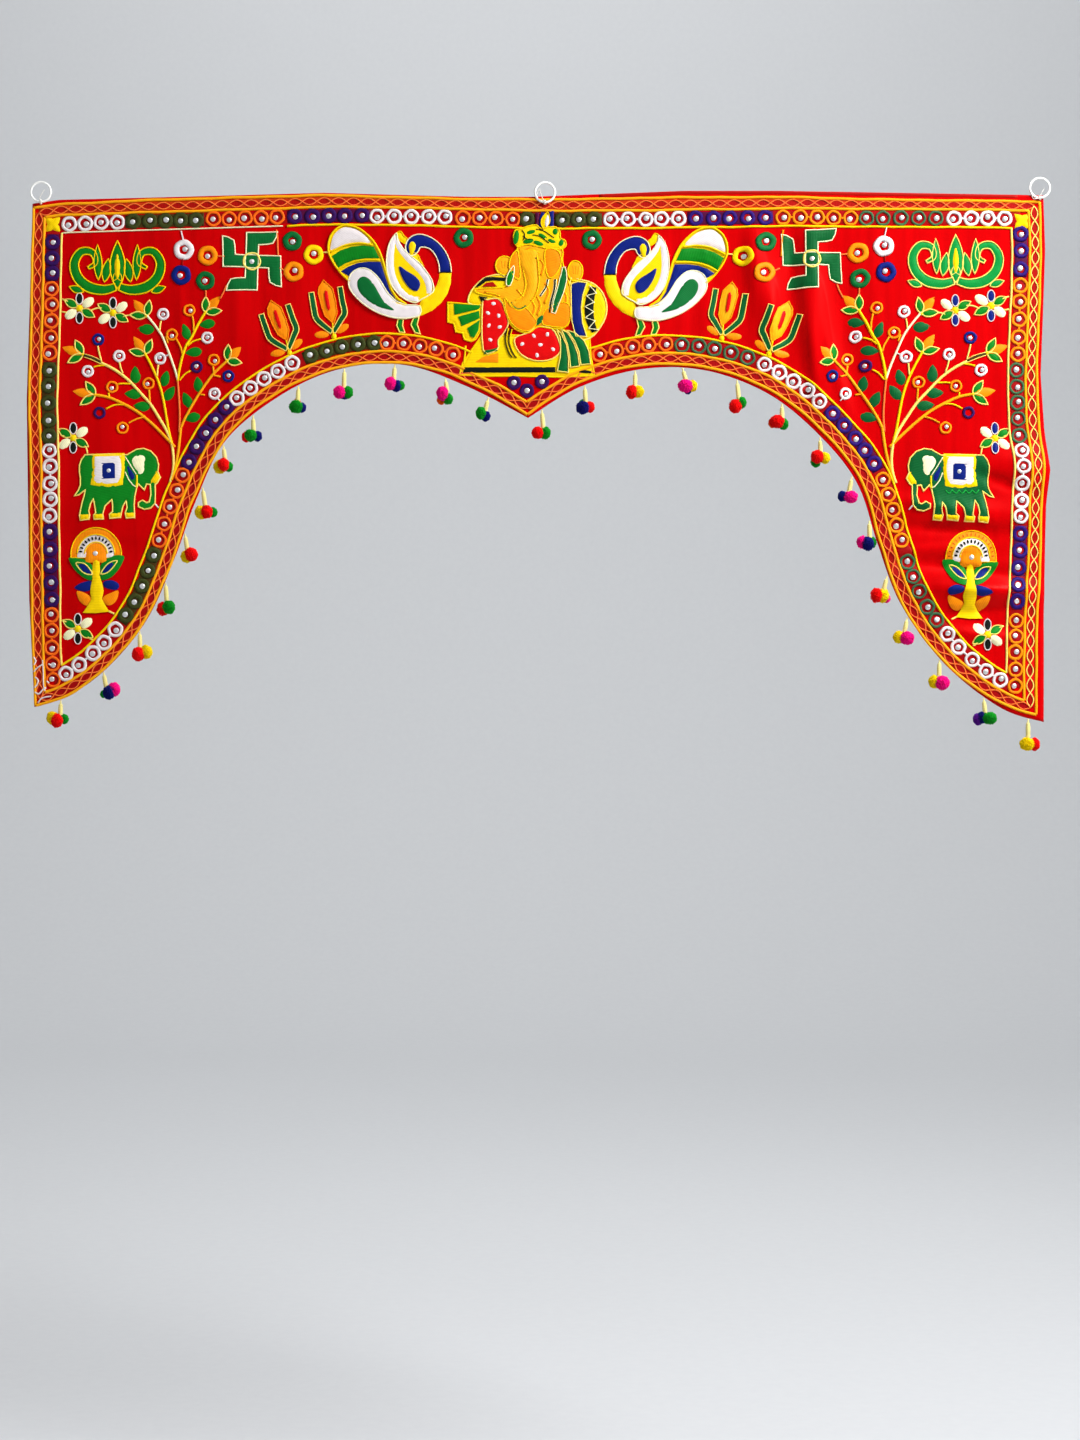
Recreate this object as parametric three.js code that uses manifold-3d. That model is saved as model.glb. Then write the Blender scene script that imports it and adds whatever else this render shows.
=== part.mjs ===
// Toran door hanging: a red satin valance with an arched lower edge and two long flaps, three rings
// that it hangs by with their thread ties, and 27 wool pompom pendants along the lower edge.
// Millimetres, +X to the right, +Z up, the embroidered front faces -Y. The origin is the top of the
// middle ring's hole, where the ring rests on its hook.
import * as THREE from 'three';
import { mergeVertices } from 'three/addons/utils/BufferGeometryUtils.js';
import Module from 'manifold-3d';

const wasm = await Module();
wasm.setup();

// Driving dimensions
const clothThickness = 2;
const ringOuterDiameter = 22;
const ringWireDiameter = 2.2;
const tieThreadRadius = 0.5;
const tailThreadRadius = 0.4;
const knotRadius = 1.25;
const knotForward = 0.2;
const pieceGap = 0.3;
const neckRadius = 0.7;
const neckLength = 4;
const neckSlack = 0.3;
const stemTopRadius = 2;
const stemFootRadius = 2.5;
const stemShoulder = 1;
const stemIntoWool = 5;
// A wool ball's radius, and how far the third one stands forward, as shares of a pendant's wool height
const ballShare = 0.46;
const frontBallShare = 0.35;
const frontBallShift = 0.4;
const ballLifts = [0.6, -0.4, -1.2];
const woolLump = { least: 0.95, range: 0.13 };

// How finely the solids are divided
const columnsPerArch = 26;
const rowsBelowHeading = 16;
const headingDepth = 20;
const ringSides = 6;
const ringSteps = 24;
const threadSides = 6;
const loopArcSteps = 8;
const loopThreadSteps = 12;
const tailThreadSteps = 7;
const stemSides = 6;
const mergeWithin = 0.25;
const mergeThreadWithin = mergeWithin / 3;

// Every outline is drawn on a paper pattern: millimetres right of its left side and down from its top.
// The hook point on that pattern is the origin of the model.
const hook = { right: 545, down: 184 };
const place = (right, down, y = 0) => new THREE.Vector3(right - hook.right, y, hook.down - down);

// Lower edge, from the left corner to the centre point and on to the right corner
const leftArch = [
  [35, 707], [71, 695], [110, 665], [146, 620], [174, 560], [196, 500], [226, 440],
  [281, 395], [340, 369], [404, 365], [468, 387], [528, 418],
];
const rightArch = [
  [528, 418], [580, 387], [644, 369], [708, 371], [772, 396], [824, 440], [858, 485],
  [878, 545], [901, 605], [945, 665], [1000, 708], [1043, 722],
];

// A table: the names of its columns, then its rows
const table = (names, rows) => rows.map((row) => (
  Object.fromEntries(names.map((name, column) => [name, row[column]]))
));

// Upper edge, a point every time it dips or rises
const topEdge = table(['right', 'down'], [
  [26, 204], [34, 204], [60, 200], [180, 197], [324, 193], [468, 197], [530, 197], [684, 191],
  [780, 191], [1020, 195], [1050, 196],
]);

// Side edges, with the bulge where the right side is slack
const leftSide = table(['down', 'right'], [[190, 33], [300, 30], [400, 27], [600, 30], [707, 35]]);
const rightSide = table(['down', 'right'], [
  [190, 1043], [250, 1045], [310, 1043], [375, 1040.5], [430, 1044], [470, 1049], [505, 1045.5],
  [610, 1043], [722, 1043],
]);
const sideReach = 70;

// Soft folds. right, down: the fold's middle; turn: degrees from plumb; along, across: its half length
// and half width; forward: how far it stands towards the viewer, or back if it is negative.
const folds = table(['right', 'down', 'turn', 'along', 'across', 'forward'], [
  [90, 610, 0, 190, 90, 5],
  [990, 640, 0, 170, 80, 6],
  [150, 420, 12, 120, 45, -4],
  [540, 330, 90, 190, 60, 4],
  [236, 310, 4, 60, 16, 3],
  [330, 290, 0, 70, 30, -3],
  [762, 285, 3, 60, 11, 4],
  [790, 300, -4, 70, 10, -4],
  [818, 320, 5, 75, 11, 5],
  [850, 350, 8, 80, 14, -4],
  [700, 280, 0, 60, 24, -3],
  [1028, 468, 80, 60, 22, 6],
  [965, 512, 84, 60, 15, 4],
  [960, 548, 96, 65, 14, -4],
  [972, 590, 82, 60, 15, 4],
  [985, 628, 98, 50, 14, -3],
  [100, 545, 78, 60, 18, -3],
]);
const flatHeading = 14;
const foldsFullAt = 55;

// Rings. loopTurn: where the tie's loop ends round the wire, in degrees: 90 is above, 0 behind it.
const rings = table(['name', 'right', 'down', 'loopTurn'], [
  ['left', 41.3, 192.4, 0],
  ['middle', 545, 192.8, 90],
  ['right', 1039.4, 188.4, 90],
]);

// Free thread ends, as steps from the knot: right, up, forward
const tails = {
  left: [[[0, 0, 0], [-0.6, 3, 0.9], [1.2, 7, 1.2], [4.2, 11.8, 1]]],
  middle: [
    [[0, 0, 0], [-4.4, 1.6, 0.8], [-8.2, 4.6, 1.1], [-7.6, 9.5, 1.3], [-5.6, 13.6, 1.2]],
    [[0, 0, 0], [-2.6, 3.6, 1.2], [-4.4, 8.6, 1.5], [-5.2, 13, 1.4]],
  ],
  right: [
    [[0, 0, 0], [0.4, 2.8, 0.9], [2.2, 6, 1.2], [3.9, 9, 1.1]],
    [[0, 0, 0], [-4.2, -1.4, 0.8], [-7.4, -0.8, 0.9], [-10.2, 7.6, 0.7]],
  ],
};

// Pendants from left to right. right, down: where the stem meets the cloth's edge; footRight,
// footDown: where it enters the wool; woolRight, woolDown, wide, high: the wool's middle and size;
// wool: the colours of its balls.
const pendantColumns = [
  'right', 'down', 'footRight', 'footDown', 'woolRight', 'woolDown', 'wide', 'high', 'wool',
];
const pendants = table(pendantColumns, [
  [62, 702, 61, 712, 58, 719, 22, 15, ['yellow', 'red', 'green']],
  [107, 674, 106.6, 686, 110, 691, 20, 16, ['navy', 'pink']],
  [140.6, 631, 140.6, 648, 142.7, 653, 19.5, 16, ['red', 'yellow']],
  [167, 583, 167, 601, 167, 608, 17, 15, ['red', 'green']],
  [187, 534, 187, 548, 190, 555, 18, 15, ['yellow', 'red']],
  [205, 489, 205, 505, 206, 512, 20.7, 14, ['yellow', 'green', 'red']],
  [224.8, 446, 224.8, 458.6, 223, 465.7, 18, 16, ['yellow', 'green', 'orange']],
  [253.5, 415, 253.5, 430, 251.4, 436, 19, 13, ['green', 'navy', 'red']],
  [297.7, 385, 297.7, 401, 297, 407, 16, 14, ['green', 'navy']],
  [344, 370, 344, 385, 343, 392.5, 19, 14, ['pink', 'green', 'navy']],
  [394, 365, 394, 377.5, 394.5, 385, 18, 15, ['pink', 'green', 'navy']],
  [446.7, 377, 446.7, 389, 445, 396.5, 16, 17, ['pink', 'green', 'orange']],
  [489.8, 397, 485.5, 409, 483, 414.5, 13, 15, ['green', 'navy']],
  [542.4, 410, 543.2, 428, 541, 433, 18, 13, ['orange', 'green']],
  [584, 384, 585.5, 401, 584.3, 407, 20, 14, ['navy', 'red']],
  [634.9, 370.6, 634.9, 385, 634.9, 392, 17, 15, ['red', 'yellow']],
  [682, 368, 685.6, 380, 686.8, 386.4, 20, 15, ['pink', 'yellow', 'navy']],
  [737, 380.6, 738.5, 397, 737.3, 405, 16, 16.5, ['orange', 'green']],
  [782.6, 402, 782, 415, 778, 422, 20, 14, ['yellow', 'green', 'red']],
  [820.3, 436, 820.3, 450, 820, 458, 19.5, 14, ['orange', 'yellow', 'green']],
  [852, 476, 849.3, 490, 848, 497, 19.5, 13, ['navy', 'pink']],
  [871.5, 520, 869.5, 535, 866, 543, 19, 16, ['pink', 'navy', 'green']],
  [887, 575.5, 884, 588, 880, 596, 20, 16, ['red', 'yellow']],
  [906.3, 617, 904.6, 630, 903.5, 637.6, 21, 15, ['yellow', 'pink']],
  [938.6, 659, 938.6, 672.5, 938.5, 682.4, 21, 15, ['yellow', 'pink']],
  [983.4, 698, 984, 711, 984.2, 718.6, 23, 14, ['navy', 'purple', 'green']],
  [1027.3, 720.6, 1027.3, 734, 1028.5, 744, 21, 15, ['yellow', 'red']],
]);

const colours = {
  satin: 0xd8101a,
  plastic: 0xf4f4f0,
  thread: 0xf2efe6,
  yellow: 0xf5b81c,
  orange: 0xf0551c,
  red: 0xd61f26,
  pink: 0xd81b6a,
  green: 0x0f6b3c,
  navy: 0x1b2168,
  purple: 0x5a1c78,
};

// Value of a table at a distance, on the straight between its two nearest rows
function between(rows, at, key, value) {
  const next = Math.max(1, rows.findIndex((row) => row[key] >= at));
  const low = rows[next - 1];
  const high = rows[next];
  const share = THREE.MathUtils.clamp((at - low[key]) / (high[key] - low[key]), 0, 1);
  return THREE.MathUtils.lerp(low[value], high[value], share);
}

// A closed mesh of shared corners, from any three.js geometry
function closed(geometry) {
  geometry.deleteAttribute('normal');
  geometry.deleteAttribute('uv');
  const merged = mergeVertices(geometry, 1e-4);
  merged.computeVertexNormals();
  return merged;
}

function solidOf(geometry) {
  const vertProperties = new Float32Array(geometry.attributes.position.array);
  const triVerts = new Uint32Array(geometry.index.array);
  return new wasm.Manifold(new wasm.Mesh({ numProp: 3, vertProperties, triVerts }));
}

function geometryOf(solid) {
  const mesh = solid.getMesh();
  const geometry = new THREE.BufferGeometry();
  geometry.setAttribute('position', new THREE.BufferAttribute(mesh.vertProperties, 3));
  geometry.setIndex(new THREE.BufferAttribute(mesh.triVerts, 1));
  geometry.computeVertexNormals();
  return geometry;
}

function meshOf(name, geometry, colour, roughness) {
  const material = new THREE.MeshStandardMaterial({ color: colours[colour], roughness, metalness: 0 });
  const mesh = new THREE.Mesh(geometry, material);
  mesh.name = name;
  return mesh;
}

// Y of the cloth's middle layer: flat at the heading, folded below it
function clothDepth(right, down) {
  const below = down - between(topEdge, right, 'right', 'down');
  const fade = THREE.MathUtils.smoothstep(below, flatHeading, foldsFullAt);
  let forward = 0;
  for (const fold of folds) {
    const turn = THREE.MathUtils.degToRad(fold.turn);
    const alongNow = (down - fold.down) * Math.cos(turn) + (right - fold.right) * Math.sin(turn);
    const acrossNow = (right - fold.right) * Math.cos(turn) - (down - fold.down) * Math.sin(turn);
    forward += fold.forward * Math.exp(-((alongNow / fold.along) ** 2) - (acrossNow / fold.across) ** 2);
  }
  return -forward * fade;
}

// The points along the lower edge, evenly spaced, with the centre point among them
function lowerEdge(stepsPerArch) {
  const spaced = (points) => {
    const curve = new THREE.SplineCurve(points.map(([right, down]) => new THREE.Vector2(right, down)));
    return curve.getSpacedPoints(stepsPerArch);
  };
  return [...spaced(leftArch), ...spaced(rightArch).slice(1)];
}

// The satin panel: columns from the upper edge to the lower one, two layers and a rim
function clothGeometry() {
  const edge = lowerEdge(columnsPerArch);
  const columns = edge.length;
  const rows = rowsBelowHeading + 2;
  const positions = [];
  const layerSize = columns * rows;
  for (const side of [-1, 1]) {
    for (const foot of edge) {
      const top = between(topEdge, foot.x, 'right', 'down');
      const leftShare = Math.max(0, 1 - (foot.x - leftArch[0][0]) / sideReach);
      const rightShare = Math.max(0, 1 - (rightArch.at(-1)[0] - foot.x) / sideReach);
      for (let row = 0; row < rows; row += 1) {
        const belowHeading = (foot.y - top - headingDepth) * ((row - 1) / rowsBelowHeading);
        const down = row === 0 ? top : top + headingDepth + belowHeading;
        const leftShift = between(leftSide, down, 'down', 'right') - leftArch[0][0];
        const rightShift = between(rightSide, down, 'down', 'right') - rightArch.at(-1)[0];
        const right = foot.x + leftShift * leftShare + rightShift * rightShare;
        const point = place(right, down, clothDepth(right, down) + side * clothThickness / 2);
        positions.push(point.x, point.y, point.z);
      }
    }
  }
  const at = (column, row, layer) => layer * layerSize + column * rows + row;
  const index = [];
  for (let column = 0; column < columns - 1; column += 1) {
    for (let row = 0; row < rows - 1; row += 1) {
      for (const layer of [0, 1]) {
        const a = at(column, row, layer);
        const b = at(column + 1, row, layer);
        const c = at(column + 1, row + 1, layer);
        const d = at(column, row + 1, layer);
        index.push(...(layer === 0 ? [a, d, c, a, c, b] : [a, c, d, a, b, c]));
      }
    }
  }
  const border = [];
  for (let row = 0; row < rows - 1; row += 1) border.push([0, row]);
  for (let column = 0; column < columns - 1; column += 1) border.push([column, rows - 1]);
  for (let row = rows - 1; row > 0; row -= 1) border.push([columns - 1, row]);
  for (let column = columns - 1; column > 0; column -= 1) border.push([column, 0]);
  border.forEach(([column, row], step) => {
    const [nextColumn, nextRow] = border[(step + 1) % border.length];
    const p = at(column, row, 0);
    const q = at(nextColumn, nextRow, 0);
    index.push(q, p, p + layerSize, q, p + layerSize, q + layerSize);
  });
  const geometry = new THREE.BufferGeometry();
  geometry.setAttribute('position', new THREE.Float32BufferAttribute(positions, 3));
  geometry.setIndex(index);
  geometry.computeVertexNormals();
  return geometry;
}

const ringWireRadius = ringWireDiameter / 2;
const ringMajorRadius = ringOuterDiameter / 2 - ringWireRadius;
const ringY = -(clothThickness / 2 + pieceGap + ringWireRadius);

function ringMesh(ring) {
  const geometry = new THREE.TorusGeometry(ringMajorRadius, ringWireRadius, ringSides, ringSteps);
  const mesh = meshOf(`ring_${ring.name}`, closed(geometry), 'plastic', 0.25);
  mesh.position.copy(place(ring.right, ring.down, ringY));
  mesh.rotation.x = Math.PI / 2;
  return mesh;
}

// A thread along a path, with flat ends
function threadSolid(points, steps, radius) {
  const section = new THREE.Shape();
  for (let side = 0; side < threadSides; side += 1) {
    const turn = (side / threadSides) * Math.PI * 2;
    const corner = [radius * Math.cos(turn), radius * Math.sin(turn)];
    if (side === 0) section.moveTo(...corner);
    else section.lineTo(...corner);
  }
  const extrudePath = new THREE.CatmullRomCurve3(points);
  return solidOf(closed(new THREE.ExtrudeGeometry(section, { steps, extrudePath })));
}

// A tie: a loop of thread round the ring's wire, a knot in front of it and the thread's free ends
function tieMesh(ring) {
  const loopRadius = ringWireRadius + pieceGap + tieThreadRadius;
  const wire = place(ring.right, ring.down + ringMajorRadius, ringY);
  const clothFace = -clothThickness / 2 - pieceGap;
  const loop = [new THREE.Vector3(wire.x, clothFace, wire.z - loopRadius)];
  for (let step = 0; step <= loopArcSteps; step += 1) {
    const turn = THREE.MathUtils.degToRad(THREE.MathUtils.lerp(270, ring.loopTurn, step / loopArcSteps));
    loop.push(new THREE.Vector3(
      wire.x,
      wire.y + loopRadius * Math.cos(turn),
      wire.z + loopRadius * Math.sin(turn),
    ));
  }
  if (ring.loopTurn === 90) loop.push(new THREE.Vector3(wire.x, clothFace, wire.z + loopRadius));
  const knotAt = new THREE.Vector3(wire.x, wire.y - loopRadius - knotForward, wire.z);
  const knot = closed(new THREE.IcosahedronGeometry(knotRadius, 1));
  knot.translate(knotAt.x, knotAt.y, knotAt.z);
  let solid = threadSolid(loop, loopThreadSteps, tieThreadRadius).add(solidOf(knot));
  for (const tail of tails[ring.name]) {
    const points = tail.map(([x, up, forward]) => knotAt.clone().add(new THREE.Vector3(x, -forward, up)));
    solid = solid.add(threadSolid(points, tailThreadSteps, tailThreadRadius));
  }
  return meshOf(`ring_tie_${ring.name}`, geometryOf(solid.simplify(mergeThreadWithin)), 'thread', 0.9);
}

// A wool ball with lumps, the same for the same seed
function woolBall(radius, centre, seed) {
  const geometry = closed(new THREE.IcosahedronGeometry(radius, 1));
  const position = geometry.attributes.position;
  const point = new THREE.Vector3();
  THREE.MathUtils.seededRandom(seed);
  for (let corner = 0; corner < position.count; corner += 1) {
    const lump = woolLump.least + woolLump.range * THREE.MathUtils.seededRandom();
    point.fromBufferAttribute(position, corner).multiplyScalar(lump).add(centre);
    position.setXYZ(corner, point.x, point.y, point.z);
  }
  return solidOf(geometry);
}

// A pendant: a thin thread neck at the cloth's edge, a wrapped stem and two or three wool balls
const edgeOfCloth = lowerEdge(columnsPerArch);
function nearestOnEdge(point) {
  let nearest = { gap: Infinity };
  for (let step = 0; step < edgeOfCloth.length - 1; step += 1) {
    const start = edgeOfCloth[step];
    const run = edgeOfCloth[step + 1].clone().sub(start);
    const share = THREE.MathUtils.clamp(point.clone().sub(start).dot(run) / run.lengthSq(), 0, 1);
    const anchor = start.clone().addScaledVector(run, share);
    const gap = anchor.distanceTo(point);
    if (gap < nearest.gap) nearest = { gap, anchor, outward: new THREE.Vector2(-run.y, run.x).normalize() };
  }
  return nearest;
}

function pendantMesh(pendant, number) {
  const { anchor, outward } = nearestOnEdge(new THREE.Vector2(pendant.right, pendant.down));
  const clearance = pieceGap + (neckRadius + neckSlack) * Math.abs(outward.x);
  const start = anchor.clone().addScaledVector(outward, clearance);
  const y = clothDepth(anchor.x, anchor.y);
  const top = place(start.x, start.y, y);
  const foot = place(pendant.footRight, pendant.footDown, y);
  const down = foot.clone().sub(top);
  const length = down.length() + stemIntoWool;
  const profile = [
    [0, 0], [neckRadius, 0], [neckRadius, neckLength], [stemTopRadius, neckLength + stemShoulder],
    [stemFootRadius, length], [0, length],
  ].map(([radius, height]) => new THREE.Vector2(radius, height));
  const stem = closed(new THREE.LatheGeometry(profile, stemSides));
  const turn = new THREE.Quaternion().setFromUnitVectors(new THREE.Vector3(0, 1, 0), down.normalize());
  stem.applyQuaternion(turn).translate(top.x, top.y, top.z);
  const ballRadius = ballShare * pendant.high;
  const reach = pendant.wide / 2 - ballRadius;
  const shifts = [[-reach, 0], [reach, 0], [frontBallShift, -frontBallShare * pendant.high]];
  let solid = solidOf(stem);
  pendant.wool.forEach((colour, ball) => {
    const [x, back] = shifts[ball];
    const centre = place(pendant.woolRight + x, pendant.woolDown - ballLifts[ball], y + back);
    solid = solid.add(woolBall(ballRadius, centre, number * 10 + ball));
  });
  const name = `pendant_${String(number).padStart(2, '0')}`;
  return meshOf(name, geometryOf(solid.simplify(mergeWithin)), pendant.wool[0], 0.95);
}

const toran = new THREE.Group();
toran.add(meshOf('cloth_panel', clothGeometry(), 'satin', 0.45));
for (const ring of rings) {
  toran.add(ringMesh(ring));
  toran.add(tieMesh(ring));
}
pendants.forEach((pendant, index) => toran.add(pendantMesh(pendant, index + 1)));

export default toran;
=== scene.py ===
"""Toran door hanging: the visual model of the embroidered valance, laid out as a Blender add-on."""
import math
import random
from functools import cache

import bpy
import numpy as np
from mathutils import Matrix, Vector
from mathutils.geometry import delaunay_2d_cdt


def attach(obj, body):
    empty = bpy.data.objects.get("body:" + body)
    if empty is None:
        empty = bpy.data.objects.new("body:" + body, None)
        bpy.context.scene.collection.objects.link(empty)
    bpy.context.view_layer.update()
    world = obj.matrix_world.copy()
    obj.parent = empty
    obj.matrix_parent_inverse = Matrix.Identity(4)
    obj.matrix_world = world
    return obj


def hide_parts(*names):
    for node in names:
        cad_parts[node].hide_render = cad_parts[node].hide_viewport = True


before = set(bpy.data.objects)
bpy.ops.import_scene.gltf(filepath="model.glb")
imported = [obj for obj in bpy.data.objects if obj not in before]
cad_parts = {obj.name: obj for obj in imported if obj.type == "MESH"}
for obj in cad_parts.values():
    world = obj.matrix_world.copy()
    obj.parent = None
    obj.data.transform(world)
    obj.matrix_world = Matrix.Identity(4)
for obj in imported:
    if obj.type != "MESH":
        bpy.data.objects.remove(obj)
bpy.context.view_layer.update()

bl_info = {
    "name": "Toran door hanging",
    "version": (1, 0, 0),
    "blender": (4, 5, 0),
    "location": "View3D > Sidebar > Toran",
    "description": "Builds an embroidered red satin toran with rings and wool pompom pendants",
    "category": "Object",
}

MM = 0.001

# Every outline is drawn on a paper pattern: millimetres right of its left side and down from its top.
# The hook point of the middle ring on that pattern is the origin of the model.
HOOK_RIGHT = 545.0
HOOK_DOWN = 184.0

LEFT_ARCH = [
    (35, 707), (71, 695), (110, 665), (146, 620), (174, 560), (196, 500), (226, 440),
    (281, 395), (340, 369), (404, 365), (468, 387), (528, 418),
]
RIGHT_ARCH = [
    (528, 418), (580, 387), (644, 369), (708, 371), (772, 396), (824, 440), (858, 485),
    (878, 545), (901, 605), (945, 665), (1000, 708), (1043, 722),
]
TOP_EDGE = [
    (26, 204), (34, 204), (60, 200), (180, 197), (324, 193), (468, 197), (530, 197), (684, 191),
    (780, 191), (1020, 195), (1050, 196),
]
LEFT_SIDE = [(190, 33), (300, 30), (400, 27), (600, 30), (707, 35)]
RIGHT_SIDE = [
    (190, 1043), (250, 1045), (310, 1043), (375, 1040.5), (430, 1044), (470, 1049), (505, 1045.5),
    (610, 1043), (722, 1043),
]
# How far in the sides' waviness reaches, and where below the top edge the folds begin and are full
SIDE_REACH = 70.0
FLAT_HEADING = 14.0
FOLDS_FULL_AT = 55.0

# The folds that the solid has: right, down, turn in degrees from plumb, along, across, forward
MAIN_FOLDS = [
    (90, 610, 0, 190, 90, 5), (990, 640, 0, 170, 80, 6), (150, 420, 12, 120, 45, -4),
    (540, 330, 90, 190, 60, 4), (236, 310, 4, 60, 16, 3), (330, 290, 0, 70, 30, -3),
    (762, 285, 3, 60, 11, 4), (790, 300, -4, 70, 10, -4), (818, 320, 5, 75, 11, 5),
    (850, 350, 8, 80, 14, -4), (700, 280, 0, 60, 24, -3), (1028, 468, 80, 60, 22, 6),
    (965, 512, 84, 60, 15, 4), (960, 548, 96, 65, 14, -4), (972, 590, 82, 60, 15, 4),
    (985, 628, 98, 50, 14, -3), (100, 545, 78, 60, 18, -3),
]
# Finer creases that only the visual cloth has, in the same columns
CREASES = [
    (752, 262, 1, 40, 7, 4.6), (773, 318, 2, 34, 7, 4.4), (811, 345, 6, 50, 7, 5.0),
    (838, 375, 16, 40, 6, 2.2), (706, 300, 0, 40, 6, 1.6), (790, 250, -3, 26, 6, -2.2),
    (930, 505, 82, 38, 6, 3.0), (948, 529, 88, 50, 6, -4.4), (944, 549, 94, 50, 6, 4.6),
    (962, 569, 84, 50, 6, -4.4), (985, 590, 88, 46, 6, 4.4), (975, 612, 96, 40, 6, -4.2),
    (972, 634, 84, 38, 6, 3.8), (1000, 482, 70, 30, 6, -3.2), (182, 322, 3, 44, 5, 0.9),
    (262, 332, -2, 36, 5, -0.9), (300, 262, 2, 36, 5, 0.6), (116, 536, 84, 30, 4, 0.7),
    (74, 566, 80, 26, 4, -0.6), (640, 310, 6, 44, 5, 0.6), (460, 250, -4, 34, 5, -0.6),
    (880, 330, 4, 44, 5, 0.7),
]


def linear(hex_colour):
    """sRGB hex to linear red, green, blue."""
    channels = [int(hex_colour[i:i + 2], 16) / 255 for i in (1, 3, 5)]
    return tuple(c / 12.92 if c <= 0.04045 else ((c + 0.055) / 1.055) ** 2.4 for c in channels)


def colour(name, description, hex_colour):
    """A colour that a user can change."""
    return bpy.props.FloatVectorProperty(
        name=name, description=description, subtype="COLOR", size=3, min=0, max=1,
        default=linear(hex_colour),
    )


def size(name, description, default):
    """A length in metres that a user can change."""
    return bpy.props.FloatProperty(
        name=name, description=description, default=default, min=0, unit="LENGTH", precision=5,
    )


class ToranSizes(bpy.types.PropertyGroup):
    cloth_thickness: size("Cloth thickness", "Satin with its backing", 1.6 * MM)
    fill_height: size("Fill height", "How far a satin stitch fill stands off the cloth", 1.1 * MM)
    outline_width: size("Outline width", "Chain stitched outlines of the motifs", 1.7 * MM)
    border_width: size("Border line width", "The amber cords along the border", 3.0 * MM)
    border_ring: size("Border ring", "Outer diameter of a border ring", 15.8 * MM)
    mirror_width: size("Mirror", "Diameter of a small round mirror", 5.4 * MM)
    ring_wire: size("Ring wire", "Thickness of the hanging rings", 2.2 * MM)
    ring_width: size("Ring", "Outer diameter of the hanging rings", 22 * MM)


class ToranColours(bpy.types.PropertyGroup):
    satin: colour("Satin", "Polyester satin of the panel", "#C60206")
    maroon: colour("Maroon", "Ground of the ring band", "#9C0508")
    rust: colour("Rust", "Ground of the outer strip", "#BC360C")
    brick: colour("Brick", "Lens shapes of the outer strip", "#A40C04")
    olive: colour("Olive", "Ground under the dark green rings", "#43300F")
    plum: colour("Plum", "Ground under the purple rings", "#4C0734")
    amber: colour("Amber", "Border cords", "#FFA90F")
    pale: colour("Pale yellow", "Inner border and fine outlines", "#FFE070")
    yellow: colour("Yellow", "Yellow fills", "#FFD000")
    orange: colour("Orange", "Orange fills and rings", "#FF8C06")
    flame: colour("Flame", "Orange rings of the border", "#FA6A14")
    salmon: colour("Salmon", "Crossing strands of the border", "#FF7A36")
    white: colour("White", "White rings and fills", "#E6DDDD")
    cream: colour("Cream", "Cream petals and outlines", "#FBF3C4")
    green: colour("Green", "Leaf green", "#087A1A")
    emerald: colour("Emerald", "Deep green fills", "#07632C")
    forest: colour("Forest", "Dark green border rings", "#363C18")
    bottle: colour("Bottle green", "Dark green fills", "#075728")
    sage: colour("Sage", "Grey green border rings of the right half", "#3C6444")
    navy: colour("Navy", "Navy fills", "#081C70")
    purple: colour("Purple", "Purple border rings", "#300C50")
    violet: colour("Violet", "Purple border rings of the right half", "#2A1068")
    black: colour("Black", "Black stitches", "#0C1410")
    leaf: colour("Leaf", "Green of the right scroll", "#0A8A38")
    bright: colour("Bright green", "Bright green fills", "#12A83C")
    scarlet: colour("Scarlet", "Bright red cloth patches", "#DC0608")


class ToranWool(bpy.types.PropertyGroup):
    yellow: colour("Yellow", "Yellow wool", "#FFD200")
    orange: colour("Orange", "Orange wool", "#FF5A0A")
    red: colour("Red", "Red wool", "#FF0A0A")
    pink: colour("Pink", "Magenta wool", "#FF0A84")
    green: colour("Green", "Green wool", "#0A8A1C")
    navy: colour("Navy", "Navy wool", "#0E1262")
    purple: colour("Purple", "Purple wool", "#5A128C")


def between(table, at):
    """Value of a table of pairs at a place, on the straight between its two nearest rows."""
    return np.interp(at, [row[0] for row in table], [row[1] for row in table])


def depth(right, down):
    """How far back the cloth's middle layer lies, in mm, for arrays of places on the pattern."""
    below = down - between(TOP_EDGE, right)
    fade = np.clip((below - FLAT_HEADING) / (FOLDS_FULL_AT - FLAT_HEADING), 0, 1)
    fade = fade * fade * (3 - 2 * fade)
    forward = np.zeros_like(right)
    for fold_right, fold_down, turn, along, across, height in MAIN_FOLDS + CREASES:
        c, s = math.cos(math.radians(turn)), math.sin(math.radians(turn))
        run = (down - fold_down) * c + (right - fold_right) * s
        side = (right - fold_right) * c - (down - fold_down) * s
        forward += height * np.exp(-(run / along) ** 2 - (side / across) ** 2)
    return -forward * fade


def in_metres(right, down, y):
    """Places on the pattern, with y in mm, as an array of points in the model's frame."""
    return np.stack([right - HOOK_RIGHT, y, HOOK_DOWN - down], axis=1) * MM


# Lines on the pattern

def catmull(points, steps=12, closed=False):
    """A smooth line through the points, as an array of right, down."""
    points = np.asarray(points, dtype=float)
    n = len(points)
    line = []
    for i in range(n if closed else n - 1):
        if closed:
            p0, p1, p2, p3 = (points[(i + k) % n] for k in (-1, 0, 1, 2))
        else:
            p0, p1, p2, p3 = (points[min(max(i + k, 0), n - 1)] for k in (-1, 0, 1, 2))
        t = np.linspace(0, 1, steps, endpoint=False)[:, None]
        v0, v1 = (p2 - p0) / 2, (p3 - p1) / 2
        cubic, square = 2 * p1 - 2 * p2 + v0 + v1, 3 * p2 - 3 * p1 - 2 * v0 - v1
        line.append(cubic * t ** 3 + square * t ** 2 + v0 * t + p1)
    if not closed:
        line.append(points[-1:])
    return np.concatenate(line)


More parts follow.
